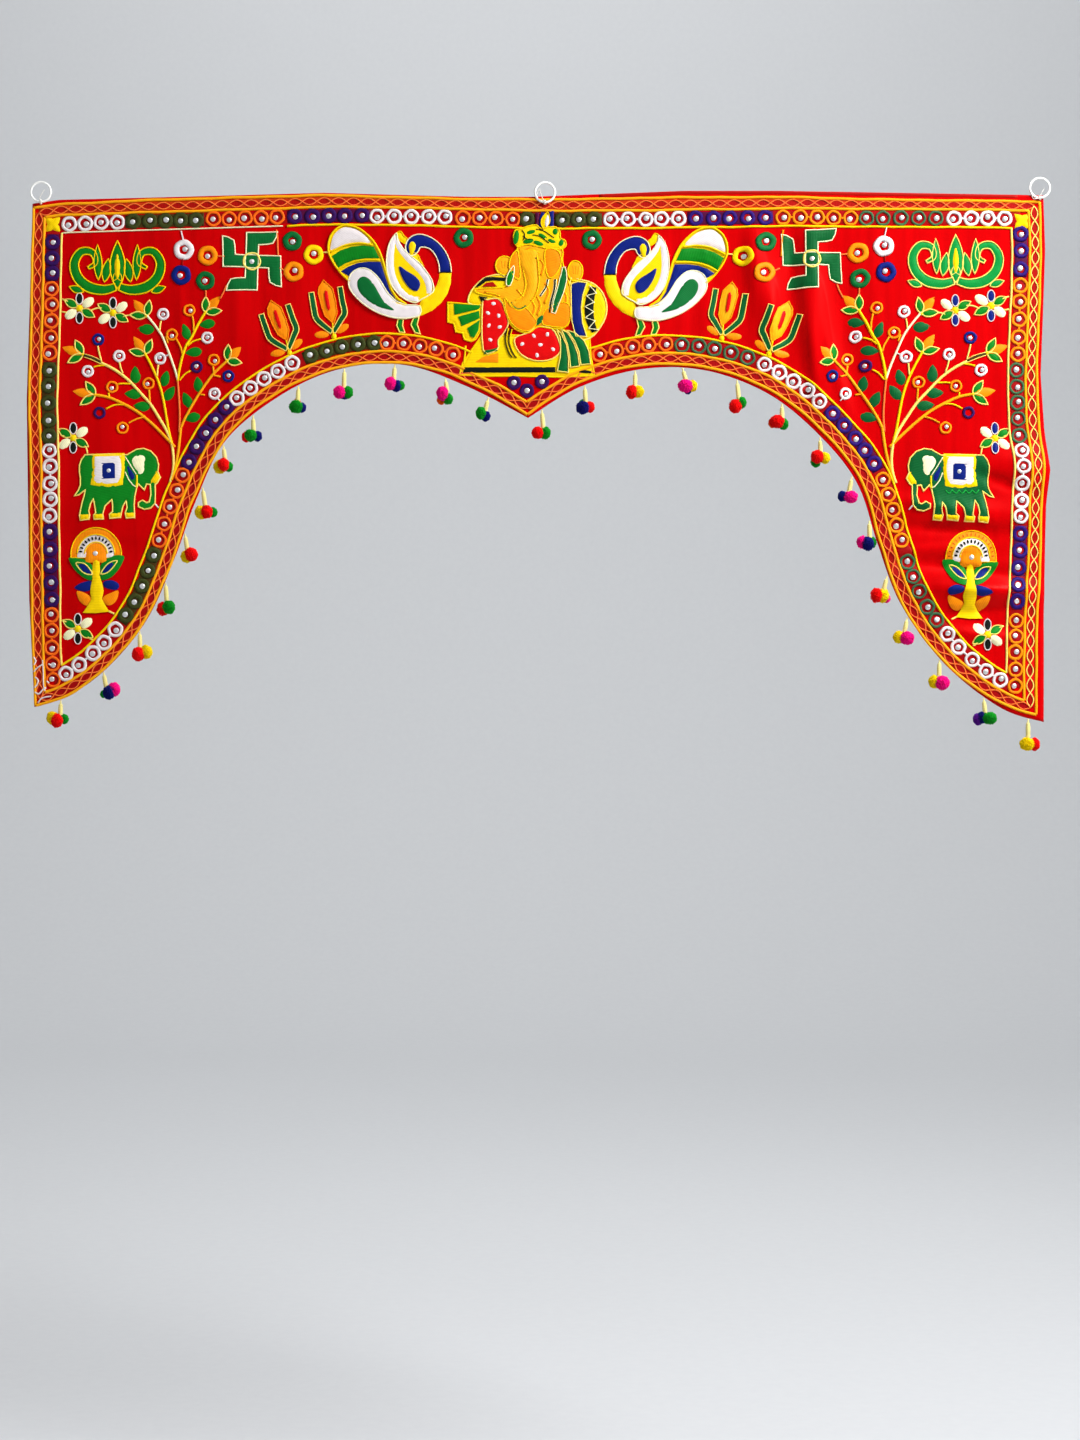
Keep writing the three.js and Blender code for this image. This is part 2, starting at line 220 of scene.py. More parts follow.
def arc_lengths(line):
    """How far along the line each of its points lies."""
    steps = np.hypot(*np.diff(line, axis=0).T)
    return np.concatenate([[0], np.cumsum(steps)])


def spaced(line, pitch=None, count=None):
    """The line with its points evenly spaced: pitch apart, or count of them."""
    run = arc_lengths(line)
    if count is None:
        count = max(2, int(round(run[-1] / pitch)) + 1)
    at = np.linspace(0, run[-1], count)
    return np.stack([np.interp(at, run, line[:, 0]), np.interp(at, run, line[:, 1])], axis=1)


def nearest(line, point):
    """Which of the line's points lies nearest to the place."""
    return int(np.argmin(np.hypot(*(line - np.array(point)).T)))


def even_out(line, passes):
    """Smooth a line in place with its ends held."""
    for _ in range(passes):
        line[1:-1] = (line[:-2] + 2 * line[1:-1] + line[2:]) / 4


def divided(line, pitch, closed=False):
    """The line with its corners kept, its close points thinned and its straights cut to the pitch."""
    line = np.asarray(line, dtype=float)
    kept = [line[0]]
    last = len(line) - 1
    for i in range(1, last + 1):
        behind, ahead = line[i] - line[i - 1], line[0 if i == last else i + 1] - line[i]
        turn = abs(math.atan2(behind[0] * ahead[1] - behind[1] * ahead[0], behind.dot(ahead)))
        far = np.hypot(*(line[i] - kept[-1])) > pitch * 0.6
        if far or turn > 0.6 or (i == last and not closed):
            kept.append(line[i])
    points = []
    ends = kept[1:] + kept[:1] if closed else kept[1:]
    for start, end in zip(kept, ends):
        gap = np.hypot(*(end - start))
        if gap < 1e-6:
            continue
        parts = max(1, round(gap / pitch))
        points += [start + (end - start) * k / parts for k in range(parts)]
    return np.array(points if closed else points + [kept[-1]])


def tangents(line, closed=False):
    """The way that the line runs at each of its points."""
    ahead = np.roll(line, -1, axis=0) - line
    if not closed:
        ahead[-1] = ahead[-2]
    ahead = ahead / np.maximum(np.hypot(ahead[:, 0], ahead[:, 1]), 1e-9)[:, None]
    behind = np.roll(ahead, 1, axis=0)
    if not closed:
        behind[0] = ahead[0]
    run = ahead + behind
    return run / np.maximum(np.hypot(run[:, 0], run[:, 1]), 1e-9)[:, None]


def normals(line, closed=False):
    """The way across the line at each of its points."""
    run = tangents(line, closed)
    return np.stack([-run[:, 1], run[:, 0]], axis=1)


def crossing(first, second):
    """Where two lines cross last: the step on each line and the place, or None."""
    a, b = first[:-1, None, :], first[1:, None, :]
    c, d = second[None, :-1, :], second[None, 1:, :]
    r, s = b - a, d - c
    bottom = r[..., 0] * s[..., 1] - r[..., 1] * s[..., 0]
    bottom = np.where(np.abs(bottom) < 1e-12, 1e-12, bottom)
    gap = c - a
    t = (gap[..., 0] * s[..., 1] - gap[..., 1] * s[..., 0]) / bottom
    u = (gap[..., 0] * r[..., 1] - gap[..., 1] * r[..., 0]) / bottom
    hits = np.argwhere((t >= 0) & (t < 1) & (u >= 0) & (u < 1))
    if not len(hits):
        return None
    i, j = hits[-1]
    return i, j, (first[i] + (first[i + 1] - first[i]) * t[i, j])


def oval(right, down, wide, high=None, turn=0, count=28):
    """An ellipse outline by its half width and half height."""
    high = wide if high is None else high
    at = np.linspace(0, 2 * math.pi, count, endpoint=False)
    c, s = math.cos(math.radians(turn)), math.sin(math.radians(turn))
    x, y = wide * np.cos(at), high * np.sin(at)
    return np.stack([right + x * c - y * s, down + x * s + y * c], axis=1)


def leaf(base, tip, wide, blunt=1.0):
    """A pointed leaf between two points; blunt above 1 rounds its tip."""
    base, tip = np.asarray(base, float), np.asarray(tip, float)
    run = tip - base
    side = np.array([-run[1], run[0]]) / max(np.hypot(*run), 1e-9)
    t = np.linspace(0, 1, 15)
    half = wide / 2 * np.sin(math.pi * t ** (0.9 / blunt)) ** (0.9 / blunt)
    middle = base + run * t[:, None]
    return np.vstack([middle + side * half[:, None], (middle - side * half[:, None])[-2:0:-1]])


def panel_sides():
    """The five sides of the panel, clockwise from the lower left corner, as the lines of its edge."""
    left_down = np.linspace(LEFT_ARCH[0][1], TOP_EDGE[0][1], 120)
    left = np.stack([between(LEFT_SIDE, left_down), left_down], axis=1)
    top_right = np.linspace(left[-1][0], between(RIGHT_SIDE, TOP_EDGE[-1][1]), 240)
    top = np.stack([top_right, between(TOP_EDGE, top_right)], axis=1)
    right_down = np.linspace(top[-1][1], RIGHT_ARCH[-1][1], 120)
    right = np.stack([between(RIGHT_SIDE, right_down), right_down], axis=1)
    for line in (left, top, right):
        even_out(line, 6)
    arch_right, arch_left = (spaced(catmull(arch), count=220)[::-1] for arch in (RIGHT_ARCH, LEFT_ARCH))
    return {"left": left, "top": top, "right": right, "arch_right": arch_right, "arch_left": arch_left}


SIDES = panel_sides()
SIDE_NAMES = list(SIDES)
# How far in from the embroidery's outer limit the cords of the border lie
BORDER_LINES = {"outer": 1.7, "second": 12.6, "inner": 30.3}
# The plain hem outside the embroidery, which wanders by hand: the place along the side (down for the plumb
# sides, right for the others), the hem there, and how much further in the second cord and what follows lie
HEMS = {
    "left": [
        (207, -0.3, 0.2), (285, -0.3, 0.3), (345, 1, -0.4), (400, 0.4, -0.7), (460, 2, -0.8),
        (510, 1.2, -0.8), (600, 0.9, 0), (645, 0, -1), (707, -0.4, -1.2),
    ],
    "top": [
        (30, 2.6, 0), (75, 2.6, 0), (150, 0.9, 1.2), (320, 0.7, 0.9), (360, 0.8, -0.4), (460, 0.8, -1.2),
        (520, 0.9, 0), (570, 2.4, 0.6), (620, 3.9, 0.7), (668, 4.2, 2), (700, 5.3, 0.7), (760, 4.6, 1),
        (800, 4.6, -0.2), (870, 5.5, -1.2), (930, 5.3, -2), (1045, 4.8, -2),
    ],
    "right": [
        (200, 2.5, 0), (320, 2.7, -0.3), (375, 2.6, 0.3), (425, 3.8, 1), (450, 2.8, 1.1), (474, 4.4, 0.4),
        (530, 2.8, 0.6), (570, 3.3, 1.3), (618, 5.2, 1.1), (666, 6.2, 1.6), (722, 5.8, 0.6),
    ],
    "arch_right": [
        (528, 1.6, -0.2), (560, 2.4, -0.7), (603, 3.2, -1.4), (650, 1.9, -0.4), (697, 1.3, -0.5),
        (765, 2.6, 0.2), (838, 3.8, -0.9), (864, 2.7, 0.3), (890, 0.6, 0.4), (917, -0.6, 0), (950, -0.2, 0),
        (983, 1.9, -0.4), (1005, 3.5, 0), (1043, 3.8, 0),
    ],
    "arch_left": [
        (35, -0.7, -0.4), (73, -0.4, 0.2), (95, -0.8, -0.7), (126, -0.9, -1.6), (158, -0.9, -2.2),
        (172, -0.2, -0.7), (190, 1.6, -1.1), (206, 1.1, -0.5), (217, -0.5, -0.2), (232, 0.6, -0.4),
        (262, 2.5, -1), (290, 2.1, -1.5), (311, 0.6, -0.8), (357, 0, -0.5), (385, -0.9, 0), (410, 0, -0.2),
        (430, 1.6, 0), (452, 3.9, -1.3), (475, 2.4, -1.4), (494, 2.8, -0.3), (528, 1, -0.7),
    ],
}


def inset_sides(distance):
    """Each side moved in by a distance from the embroidery's outer limit and cut at its corners."""
    moved = {}
    for name, line in SIDES.items():
        places, hems, steps = np.array(HEMS[name], dtype=float).T
        along = line[:, 1 if name in ("left", "right") else 0]
        share = min(1, max(0, distance - BORDER_LINES["outer"]) / 10)
        hem = np.interp(along, places, hems) + np.interp(along, places, steps) * share
        even_out(hem, 12)
        hem = (hem + distance)[:, None]
        ahead = tangents(line)
        inner = line + normals(line) * hem
        start = inner[:1] - ahead[:1] * 60
        end = inner[-1:] + ahead[-1:] * 60
        moved[name] = np.vstack([start, inner, end])
    for i, name in enumerate(SIDE_NAMES):
        after = SIDE_NAMES[(i + 1) % len(SIDE_NAMES)]
        hit = crossing(moved[name], moved[after])
        if hit is None:
            raise RuntimeError(f"the sides {name} and {after} don't cross at {distance} mm")
        last, first, corner = hit
        moved[name] = np.vstack([moved[name][:last + 1], corner])
        moved[after] = np.vstack([corner, moved[after][first + 1:]])
    return moved


# Materials

def add_node(material, kind, settings=(), links=(), feeds=None):
    """A node of that kind, with its settings, links from (socket, other node, its output), and the shader's
    socket that an output of its own feeds."""
    nodes, wires = material.node_tree.nodes, material.node_tree.links
    node = nodes.new(kind)
    for name, value in dict(settings).items():
        if isinstance(name, int) or name in node.inputs:
            node.inputs[name].default_value = value
        else:
            setattr(node, name, value)
    for name, other, output in links:
        wires.new(other.outputs[output], node.inputs[name])
    if feeds:
        wires.new(node.outputs[feeds[1]], nodes["Principled BSDF"].inputs[feeds[0]])
    return node


def new_material(name, **values):
    """A material with constants on its shader's sockets."""
    material = bpy.data.materials.new(name)
    material.use_nodes = True
    shader = material.node_tree.nodes["Principled BSDF"]
    for socket, value in values.items():
        shader.inputs[socket.replace("_", " ")].default_value = value
    return material


def tinted(shade, strength):
    """A socket colour between white and the shade."""
    return [1 - strength + strength * c / max(max(shade), 0.05) for c in shade] + [1]


def scaled(shade, factor=1):
    """The shade made lighter or darker, as a socket colour."""
    return [min(1, c * factor) for c in shade] + [1]


def band_scale(pitch):
    """Scale of a wave pattern whose bands lie the pitch apart, in mm, where one unit is a metre. At a scale
    of 1 it has 20 bands in 2 pi units."""
    return 1000 / pitch / 20 * math.tau


def surface(material, shades=None, shaded_by=None, bump=None, raised_by=None):
    """Colour a material between two shades by a node's output, and raise fine bumps by a pattern, where bump
    holds their strength and their height in mm."""
    if shades:
        add_node(
            material, "ShaderNodeMix", {"data_type": "RGBA", 6: shades[0], 7: shades[1]}, [(0, *shaded_by)],
            feeds=("Base Color", 2),
        )
    if bump:
        add_node(
            material, "ShaderNodeBump", {"Strength": bump[0], "Distance": bump[1] * MM},
            [("Height", raised_by, "Fac")], feeds=("Normal", 0),
        )
    return material


def patterned(material, pattern, settings, shades=None, bump=None):
    """Lay one pattern over a material, for its shades, its bumps or both."""
    place = add_node(material, "ShaderNodeTexCoord")
    laid = add_node(material, pattern, settings, [("Vector", place, "Object")])
    return surface(material, shades, (laid, "Fac"), bump, laid)


@cache
def rayon_thread(name, shade):
    """Rayon embroidery thread, laid side by side: soft gloss along fine ridges, each a little lighter or
    darker. The real thread is 0.4 mm thick; its ridges are drawn 1.6 mm apart so that they show."""
    material = new_material(
        f"rayon_thread_laid_{name}", Roughness=0.5, IOR=1.5, Specular_IOR_Level=0.2,
        Specular_Tint=tinted(shade, 0.6),
    )
    # One unit of the UV map is one metre
    place = add_node(material, "ShaderNodeUVMap", {"uv_map": "UVMap"})
    ridges = add_node(
        material, "ShaderNodeTexWave",
        {"wave_type": "BANDS", "bands_direction": "X", "Scale": band_scale(1.6), "Distortion": 1.2,
         "Detail": 1.0, "Detail Scale": 2.0},
        [("Vector", place, "UV")],
    )
    patches = add_node(
        material, "ShaderNodeTexNoise", {"Scale": 160.0, "Detail": 2.0}, [("Vector", place, "UV")],
    )
    both = add_node(
        material, "ShaderNodeMath", {"operation": "MULTIPLY_ADD", 1: 0.5},
        [(0, ridges, "Fac"), (2, patches, "Fac")],
    )
    return surface(material, (scaled(shade, 0.76), scaled(shade, 1.08)), (both, 0), (0.35, 0.25), ridges)


def woven_satin(shade):
    """Polyester satin, woven and calendered: long floats give it a broad soft gloss of its own colour and
    faint upright lines. The real floats are 0.15 mm apart; they are drawn 1.4 mm apart."""
    material = new_material(
        "polyester_satin_woven", Roughness=0.33, IOR=1.5, Specular_IOR_Level=0.6, Anisotropic=0.4,
        Specular_Tint=scaled(linear("#FF1A0C")),
    )
    place = add_node(material, "ShaderNodeTexCoord")
    floats = add_node(
        material, "ShaderNodeTexWave",
        {"wave_type": "BANDS", "bands_direction": "X", "Scale": band_scale(1.4), "Distortion": 0.8,
         "Detail": 2.0},
        [("Vector", place, "Object")],
    )
    streaks = add_node(material, "ShaderNodeMapping", {"Scale": (90, 90, 6)}, [("Vector", place, "Object")])
    lines = add_node(
        material, "ShaderNodeTexNoise", {"Scale": 1.0, "Detail": 3.0}, [("Vector", streaks, "Vector")],
    )
    clearer = add_node(
        material, "ShaderNodeMapRange", {"From Min": 0.35, "From Max": 0.65}, [(0, lines, "Fac")],
    )
    return surface(material, (scaled(shade, 0.88), scaled(shade, 1.06)), (clearer, 0), (0.12, 0.1), floats)


@cache
def dyed_wool(name, shade):
    """Acrylic wool, wound and cut into a pompom: matt and soft, each yarn a little off the next."""
    material = new_material(
        f"acrylic_wool_cut_{name}", Roughness=0.9, IOR=1.45, Specular_IOR_Level=0.1, Sheen_Weight=0.15,
        Sheen_Roughness=0.6, Sheen_Tint=tinted(shade, 0.9),
    )
    return patterned(
        material, "ShaderNodeTexNoise", {"Scale": 700.0, "Detail": 2.0},
        shades=(scaled(shade, 0.72), scaled(shade, 1.2)),
    )


@cache
def silvered_mirror():
    """Silvered glass, cut small and a little scratched: a bright even flash over the whole round."""
    return patterned(
        new_material("silvered_glass_cut", Metallic=1.0, Roughness=0.42),
        "ShaderNodeTexNoise", {"Scale": 300.0, "Detail": 2.0},
        shades=(scaled(linear("#E6E8EA")), scaled(linear("#FFFFFF"))),
    )


@cache
def moulded_plastic():
    """White ABS, injection moulded: an even gloss with the faintest ripple."""
    return patterned(
        new_material("abs_moulded_white", Roughness=0.25, IOR=1.53, Base_Color=scaled(linear("#FAFAF6"))),
        "ShaderNodeTexNoise", {"Scale": 400.0, "Detail": 1.0}, bump=(0.08, 0.1),
    )


@cache
def cotton_thread(name, shade):
    """Cotton thread, twisted: matt with fine slanting plies, drawn 1 mm apart, coarser than real."""
    return patterned(
        new_material(f"cotton_thread_twisted_{name}", Roughness=0.75, IOR=1.5, Specular_IOR_Level=0.2),
        "ShaderNodeTexWave",
        {"wave_type": "BANDS", "bands_direction": "DIAGONAL", "Scale": band_scale(1.0), "Distortion": 1.0,
         "Detail": 1.0},
        shades=(scaled(shade, 0.78), scaled(shade)), bump=(0.4, 0.15),
    )


def rolled_paint():
    """Emulsion paint, rolled: matt and pale with a faint stipple."""
    return patterned(
        new_material("emulsion_paint_rolled", Roughness=0.9), "ShaderNodeTexNoise", {"Scale": 60.0},
        shades=(scaled(linear("#D3D5D8")), scaled(linear("#D8DADC"))),
    )


# Meshes

def make_mesh(name, points, faces, materials, face_materials=None, uvs=None):
    """An object at the origin from points in metres, with a UV for each point."""
    mesh = bpy.data.meshes.new(name)
    mesh.from_pydata(np.asarray(points).tolist(), [], faces)
    for material in materials:
        mesh.materials.append(material)
    if face_materials is not None:
        mesh.polygons.foreach_set("material_index", face_materials)
    mesh.polygons.foreach_set("use_smooth", [True] * len(mesh.polygons))
    if uvs is not None:
        layer = mesh.uv_layers.new(name="UVMap")
        corners = np.empty(len(mesh.loops), dtype=np.int32)
        mesh.loops.foreach_get("vertex_index", corners)
        layer.data.foreach_set("uv", np.asarray(uvs)[corners].astype(np.float32).ravel())
    mesh.update()
    thing = bpy.data.objects.new(name, mesh)
    bpy.context.scene.collection.objects.link(thing)
    return thing


def skin(rings, sides, closed=False, ends=True, inside_out=False):
    """Faces of a tube whose points lie ring after ring. A closed one meets itself; an open one has ends."""
    faces = []
    for ring in range(rings if closed else rings - 1):
        here, there = ring * sides, (ring + 1) % rings * sides
        for side in range(sides):
            after = (side + 1) % sides
            face = (here + side, here + after, there + after, there + side)
            faces.append((face[0], *face[:0:-1]) if inside_out else face)
    if ends and not closed:
        faces.append(tuple(range(sides))[::-1])
        faces.append(tuple((rings - 1) * sides + side for side in range(sides)))
    return faces


def shifted(faces, start):
    """Faces whose points come after others in a list."""
    return [tuple(int(point) + start for point in face) for face in faces]


def circle(count):
    """Angles of evenly spaced places round a circle."""
    return [2 * math.pi * k / count for k in range(count)]


def settle(thing, slot, *nodes):
    """The piece rides on the one body and stands for the nodes named; the slot is not used."""
    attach(thing, "root")
    if nodes:
        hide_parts(*nodes)
    return thing


def turns_back(flat, face):
    """Whether a flat face runs the way that makes it look forward."""
    a, b, c = flat[face[0]], flat[face[1]], flat[face[2]]
    return (b[0] - a[0]) * (c[1] - a[1]) - (b[1] - a[1]) * (c[0] - a[0]) < 0


def gap_to_edge(points, edge):
    """How far each point lies from a closed outline."""
    run = (np.roll(edge, -1, axis=0) - edge)[None]
    share = ((points[:, None] - edge[None]) * run).sum(-1) / np.maximum((run ** 2).sum(-1), 1e-12)
    near = edge[None] + run * np.clip(share, 0, 1)[..., None]
    return np.sqrt(((points[:, None] - near) ** 2).sum(-1)).min(axis=1)


def inside(points, edge):
    """Which points a closed outline holds."""
    odd = np.zeros(len(points), dtype=bool)
    for (x0, y0), (x1, y1) in zip(edge, np.roll(edge, -1, axis=0)):
        if y0 == y1:
            continue
        crosses = (points[:, 1] > min(y0, y1)) & (points[:, 1] <= max(y0, y1))
        at = x0 + (points[:, 1] - y0) / (y1 - y0) * (x1 - x0)
        odd ^= crosses & (points[:, 0] < at)
    return odd


class Stitchwork:
    """Gathers embroidered shapes that lie on the cloth into one piece. Points are right, down and up
    from the cloth's face in mm; UVs are in mm with the threads' ridges along U."""

    def __init__(self, name):
        self.name = name
        self.points, self.uvs, self.faces, self.shades, self.names = [], [], [], [], []
        self.count = 0
        self.random = random.Random(name)
        self.turned = False
        sizes = bpy.context.scene.toran_sizes
        self.high = sizes.fill_height / MM
        self.line = sizes.outline_width / MM
        self.mirror_width = sizes.mirror_width / MM

    def add(self, points, faces, shade, uvs):
        """Take in a shape of one shade, turned over where the stitchwork is on the right half."""
        points = np.asarray(points, dtype=float)
        if self.turned:
            points = np.column_stack([turned_over(points[:, :2]), points[:, 2]])
            faces = [tuple(reversed(face)) for face in faces]
        if shade not in self.names:
            self.names.append(shade)
        index = self.names.index(shade)
        self.points.append(points)
        self.uvs.append(np.asarray(uvs, dtype=float))
        self.faces.extend(shifted(faces, self.count))
        self.shades.extend([index] * len(faces))
        self.count += len(points)

    def fill(self, outline, shade, high=None, turn=0.0, pitch=None, base=0.0):
        """A padded satin stitch fill: raised in the middle, rounded down to the cloth at its edge."""
        high = self.high if high is None else high
        outline = np.asarray(outline, dtype=float)
        span = np.ptp(outline, axis=0)
        pitch = pitch or float(np.clip(min(span) / 4, 0.9, 2.6))
        edge = divided(outline, pitch, closed=True)
        low, top = edge.min(axis=0), edge.max(axis=0)
        rows = np.arange(low[1] + pitch / 2, top[1], pitch * 0.87)
        grid = [
            (x + (pitch / 2 if k % 2 else 0), y)
            for k, y in enumerate(rows) for x in np.arange(low[0] + pitch / 2, top[0], pitch)
        ]
        inner = np.array(grid).reshape(-1, 2)
        if len(inner):
            inner = inner[gap_to_edge(inner, edge) > pitch * 0.55]
        inner = inner[inside(inner, edge)]
        borders = [(i, (i + 1) % len(edge)) for i in range(len(edge))]
        flat, _, faces, _, _, _ = delaunay_2d_cdt(
            [tuple(p) for p in np.vstack([edge, inner])], borders, [], 1, 1e-5,
        )
        flat = np.array([(p[0], p[1]) for p in flat])
        gap = gap_to_edge(flat, edge)
        crown = min(2.4, max(span.min() * 0.28, 0.8))
        rise = np.sqrt(np.clip(1 - (1 - np.minimum(gap / crown, 1)) ** 2, 0, 1))
        up = base - 0.25 + (high + 0.25) * np.where(gap < 1e-6, 0, 0.3 + 0.7 * rise)
        faces = [face if turns_back(flat, face) else tuple(reversed(face)) for face in faces]
        c, s = math.cos(math.radians(turn)), math.sin(math.radians(turn))
        uvs = np.stack([flat[:, 0] * c + flat[:, 1] * s, -flat[:, 0] * s + flat[:, 1] * c], axis=1)
        self.add(np.column_stack([flat, up]), faces, shade, uvs)

    def cord(self, line, shade, wide=None, high=None, closed=False, pitch=1.8, base=0.0, wobble=0.0):
        """A couched cord or a row of chain stitch along a line on the cloth."""
        wide = self.line if wide is None else wide
        high = wide * 0.55 if high is None else high
        line = divided(line, pitch, closed)
        side = normals(line, closed)
        run = arc_lengths(np.vstack([line, line[:1]]) if closed else line)[:len(line)]
        if wobble:
            phase = self.random.uniform(0, 6)
            line = line + side * (wobble * np.sin(run / 9 + phase) * np.sin(run / 23 + 2 * phase))[:, None]
        if closed:
            before, after = np.roll(line, 1, axis=0) - line, np.roll(line, -1, axis=0) - line
        else:
            before = np.vstack([line[:1] - line[1:2], line[:-1] - line[1:]])
            after = np.vstack([line[1:] - line[:-1], line[-1:] - line[-2:-1]])
        cosine = -(before * after).sum(1) / np.maximum(np.hypot(*before.T) * np.hypot(*after.T), 1e-9)
        mitre = 1 / np.sqrt(np.clip((1 + cosine) / 2, 0.4, 1))
        section = [(-0.5, -0.2), (-0.36, 0.72), (0, 1), (0.36, 0.72), (0.5, -0.2)]
        rings = []
        uvs = []
        for across, lift in section:
            offset = side * (across * wide * mitre)[:, None]
            level = base + (lift * high if lift > 0 else lift)
            rings.append(np.column_stack([line + offset, np.full(len(line), level)]))
            uvs.append(np.stack([run + across * wide * 0.8, np.full(len(line), across * wide)], axis=1))
        points = np.stack(rings, axis=1).reshape(-1, 3)
        uvs = np.stack(uvs, axis=1).reshape(-1, 2)
        self.add(points, skin(len(line), len(section), closed), shade, uvs)

    def patch(self, outline, shade, up):
        """A thin flat patch of thread that lies on the cloth as one face."""
        outline = np.asarray(outline, dtype=float)
        face = tuple(range(len(outline)))
        face = face if turns_back(outline, (0, len(face) // 3, 2 * len(face) // 3)) else face[::-1]
        self.add(np.column_stack([outline, np.full(len(outline), up)]), [face], shade, outline)

    def ring(self, right, down, outer, hole, shade, high=1.3, count=22):
        """A thread ring, buttonhole stitched: outer and hole are diameters."""
        middle, half = (outer + hole) / 4, (outer - hole) / 4
        sides = 6
        points, uvs = [], []
        for at in circle(count):
            rough = 1 + 0.03 * math.sin(5 * at + right)
            for turn in circle(sides):
                radius = middle * rough + half * math.cos(turn)
                level = high * 0.5 + high * 0.62 * math.sin(turn)
                points.append((right + radius * math.cos(at), down + radius * math.sin(at), level))
                uvs.append((at * outer / 2, radius))
        self.add(points, skin(count, sides, closed=True, inside_out=True), shade, uvs)

    def mirror(self, right, down, share=1.0, high=1.4):
        """A small round mirror, a little domed, as a share of the usual width."""
        count = 14
        width = self.mirror_width * share
        points = [(right, down, high)]
        levels = [(0.42, high - 0.04), (0.5, high - 0.3), (0.5, -0.2)]
        for reach, level in levels:
            points += [
                (right + reach * width * math.cos(at), down + reach * width * math.sin(at), level)
                for at in circle(count)
            ]
        faces = [(0, 1 + (i + 1) % count, 1 + i) for i in range(count)]
        faces += shifted(skin(len(levels), count, ends=False), 1)
        self.add(points, faces, "mirror", [(p[0], p[1]) for p in points])

    def shape(self, outline, shade, edge="pale", turn=0.0, wide=None, high=None, base=0.0):
        """A fill with a chain stitched outline round it."""
        self.fill(outline, shade, turn=turn, high=high, base=base)
        lift = (high or self.high) + 0.15
        self.cord(outline, edge, wide=wide, closed=True, base=base + 0.1, high=lift)

    def make(self):
        """Lay all that was gathered on the cloth, as one piece."""
        points = np.concatenate(self.points)
        colours = bpy.context.scene.toran_colours
        face = bpy.context.scene.toran_sizes.cloth_thickness / 2 / MM
        y = depth(points[:, 0], points[:, 1]) - face - points[:, 2]
        materials = [
            silvered_mirror() if name == "mirror" else rayon_thread(name, tuple(getattr(colours, name)))
            for name in self.names
        ]
        thing = make_mesh(
            self.name, in_metres(points[:, 0], points[:, 1], y), self.faces, materials, self.shades,
            np.concatenate(self.uvs) * MM,
        )
        settle(thing, "embroidery")
        return thing


# The panel

COLUMNS_PER_ARCH = 150
ROWS = 140
HEADING_ROWS = 8
HEADING_DEPTH = 20.0


def panel_grid():
    """Right and down of the panel's grid: a column for each step of its lower edge."""
    left = spaced(catmull(LEFT_ARCH), count=COLUMNS_PER_ARCH + 1)
    right = spaced(catmull(RIGHT_ARCH), count=COLUMNS_PER_ARCH + 1)
    foot = np.vstack([left, right[1:]])
    top = between(TOP_EDGE, foot[:, 0])
    upper = np.linspace(0, HEADING_DEPTH, HEADING_ROWS, endpoint=False)
    shares = np.linspace(0, 1, ROWS - HEADING_ROWS)
    down = np.concatenate([
        top[:, None] + upper[None],
        top[:, None] + HEADING_DEPTH + (foot[:, 1:2] - top[:, None] - HEADING_DEPTH) * shares[None],
    ], axis=1)
    across = np.repeat(foot[:, :1], down.shape[1], axis=1)
    left_share = np.clip(1 - (across - LEFT_ARCH[0][0]) / SIDE_REACH, 0, 1)
    right_share = np.clip(1 - (RIGHT_ARCH[-1][0] - across) / SIDE_REACH, 0, 1)
    across = across + (between(LEFT_SIDE, down) - LEFT_ARCH[0][0]) * left_share
    across = across + (between(RIGHT_SIDE, down) - RIGHT_ARCH[-1][0]) * right_share
    return across, down


class ToranPanel(bpy.types.Operator):
    """Add the red satin panel with its folds"""
    bl_idname = "toran.satin_panel"
    bl_label = "Satin panel"

    def execute(self, context):
        across, down = panel_grid()
        half = context.scene.toran_sizes.cloth_thickness / 2 / MM
        columns, rows = across.shape
        flat_across, flat_down = across.ravel(), down.ravel()
        middle = depth(flat_across, flat_down)
        front = in_metres(flat_across, flat_down, middle - half)
        back = in_metres(flat_across, flat_down, middle + half)
        layer = columns * rows
        i, j = np.meshgrid(np.arange(columns - 1), np.arange(rows - 1), indexing="ij")
        a = (i * rows + j).ravel()
        b, c, d = a + rows, a + rows + 1, a + 1
        faces = np.stack([a, d, c, b], axis=1).tolist()
        faces += (np.stack([a, b, c, d], axis=1) + layer).tolist()
        border = [(0, row) for row in range(rows - 1)]
        border += [(column, rows - 1) for column in range(columns - 1)]
        border += [(columns - 1, row) for row in range(rows - 1, 0, -1)]
        border += [(column, 0) for column in range(columns - 1, 0, -1)]
        ring = [column * rows + row for column, row in border]
        for p, q in zip(ring, ring[1:] + ring[:1]):
            faces.append((q, p, p + layer, q + layer))
        satin = woven_satin(context.scene.toran_colours.satin)
        thing = make_mesh("satin_panel", np.vstack([front, back]), faces, [satin])
        settle(thing, "satin", "cloth_panel")
        return {"FINISHED"}


# The border

# Middle of the outer strip, the wave of its strands, the lens shapes between them; middle of the ring band
WAVE_MIDDLE = 7.15
WAVE_HEIGHT = 3.4
LENS_LENGTH = 14.6
RING_MIDDLE = 21.4
LENS_STEPS = 8
# The turned hem at the back: how far in its middle and its seam lie, and a stitch of the seam with its gap
HEM_MIDDLE = 4.2
HEM_SEAM = 6.4
HEM_STITCH = 4.6
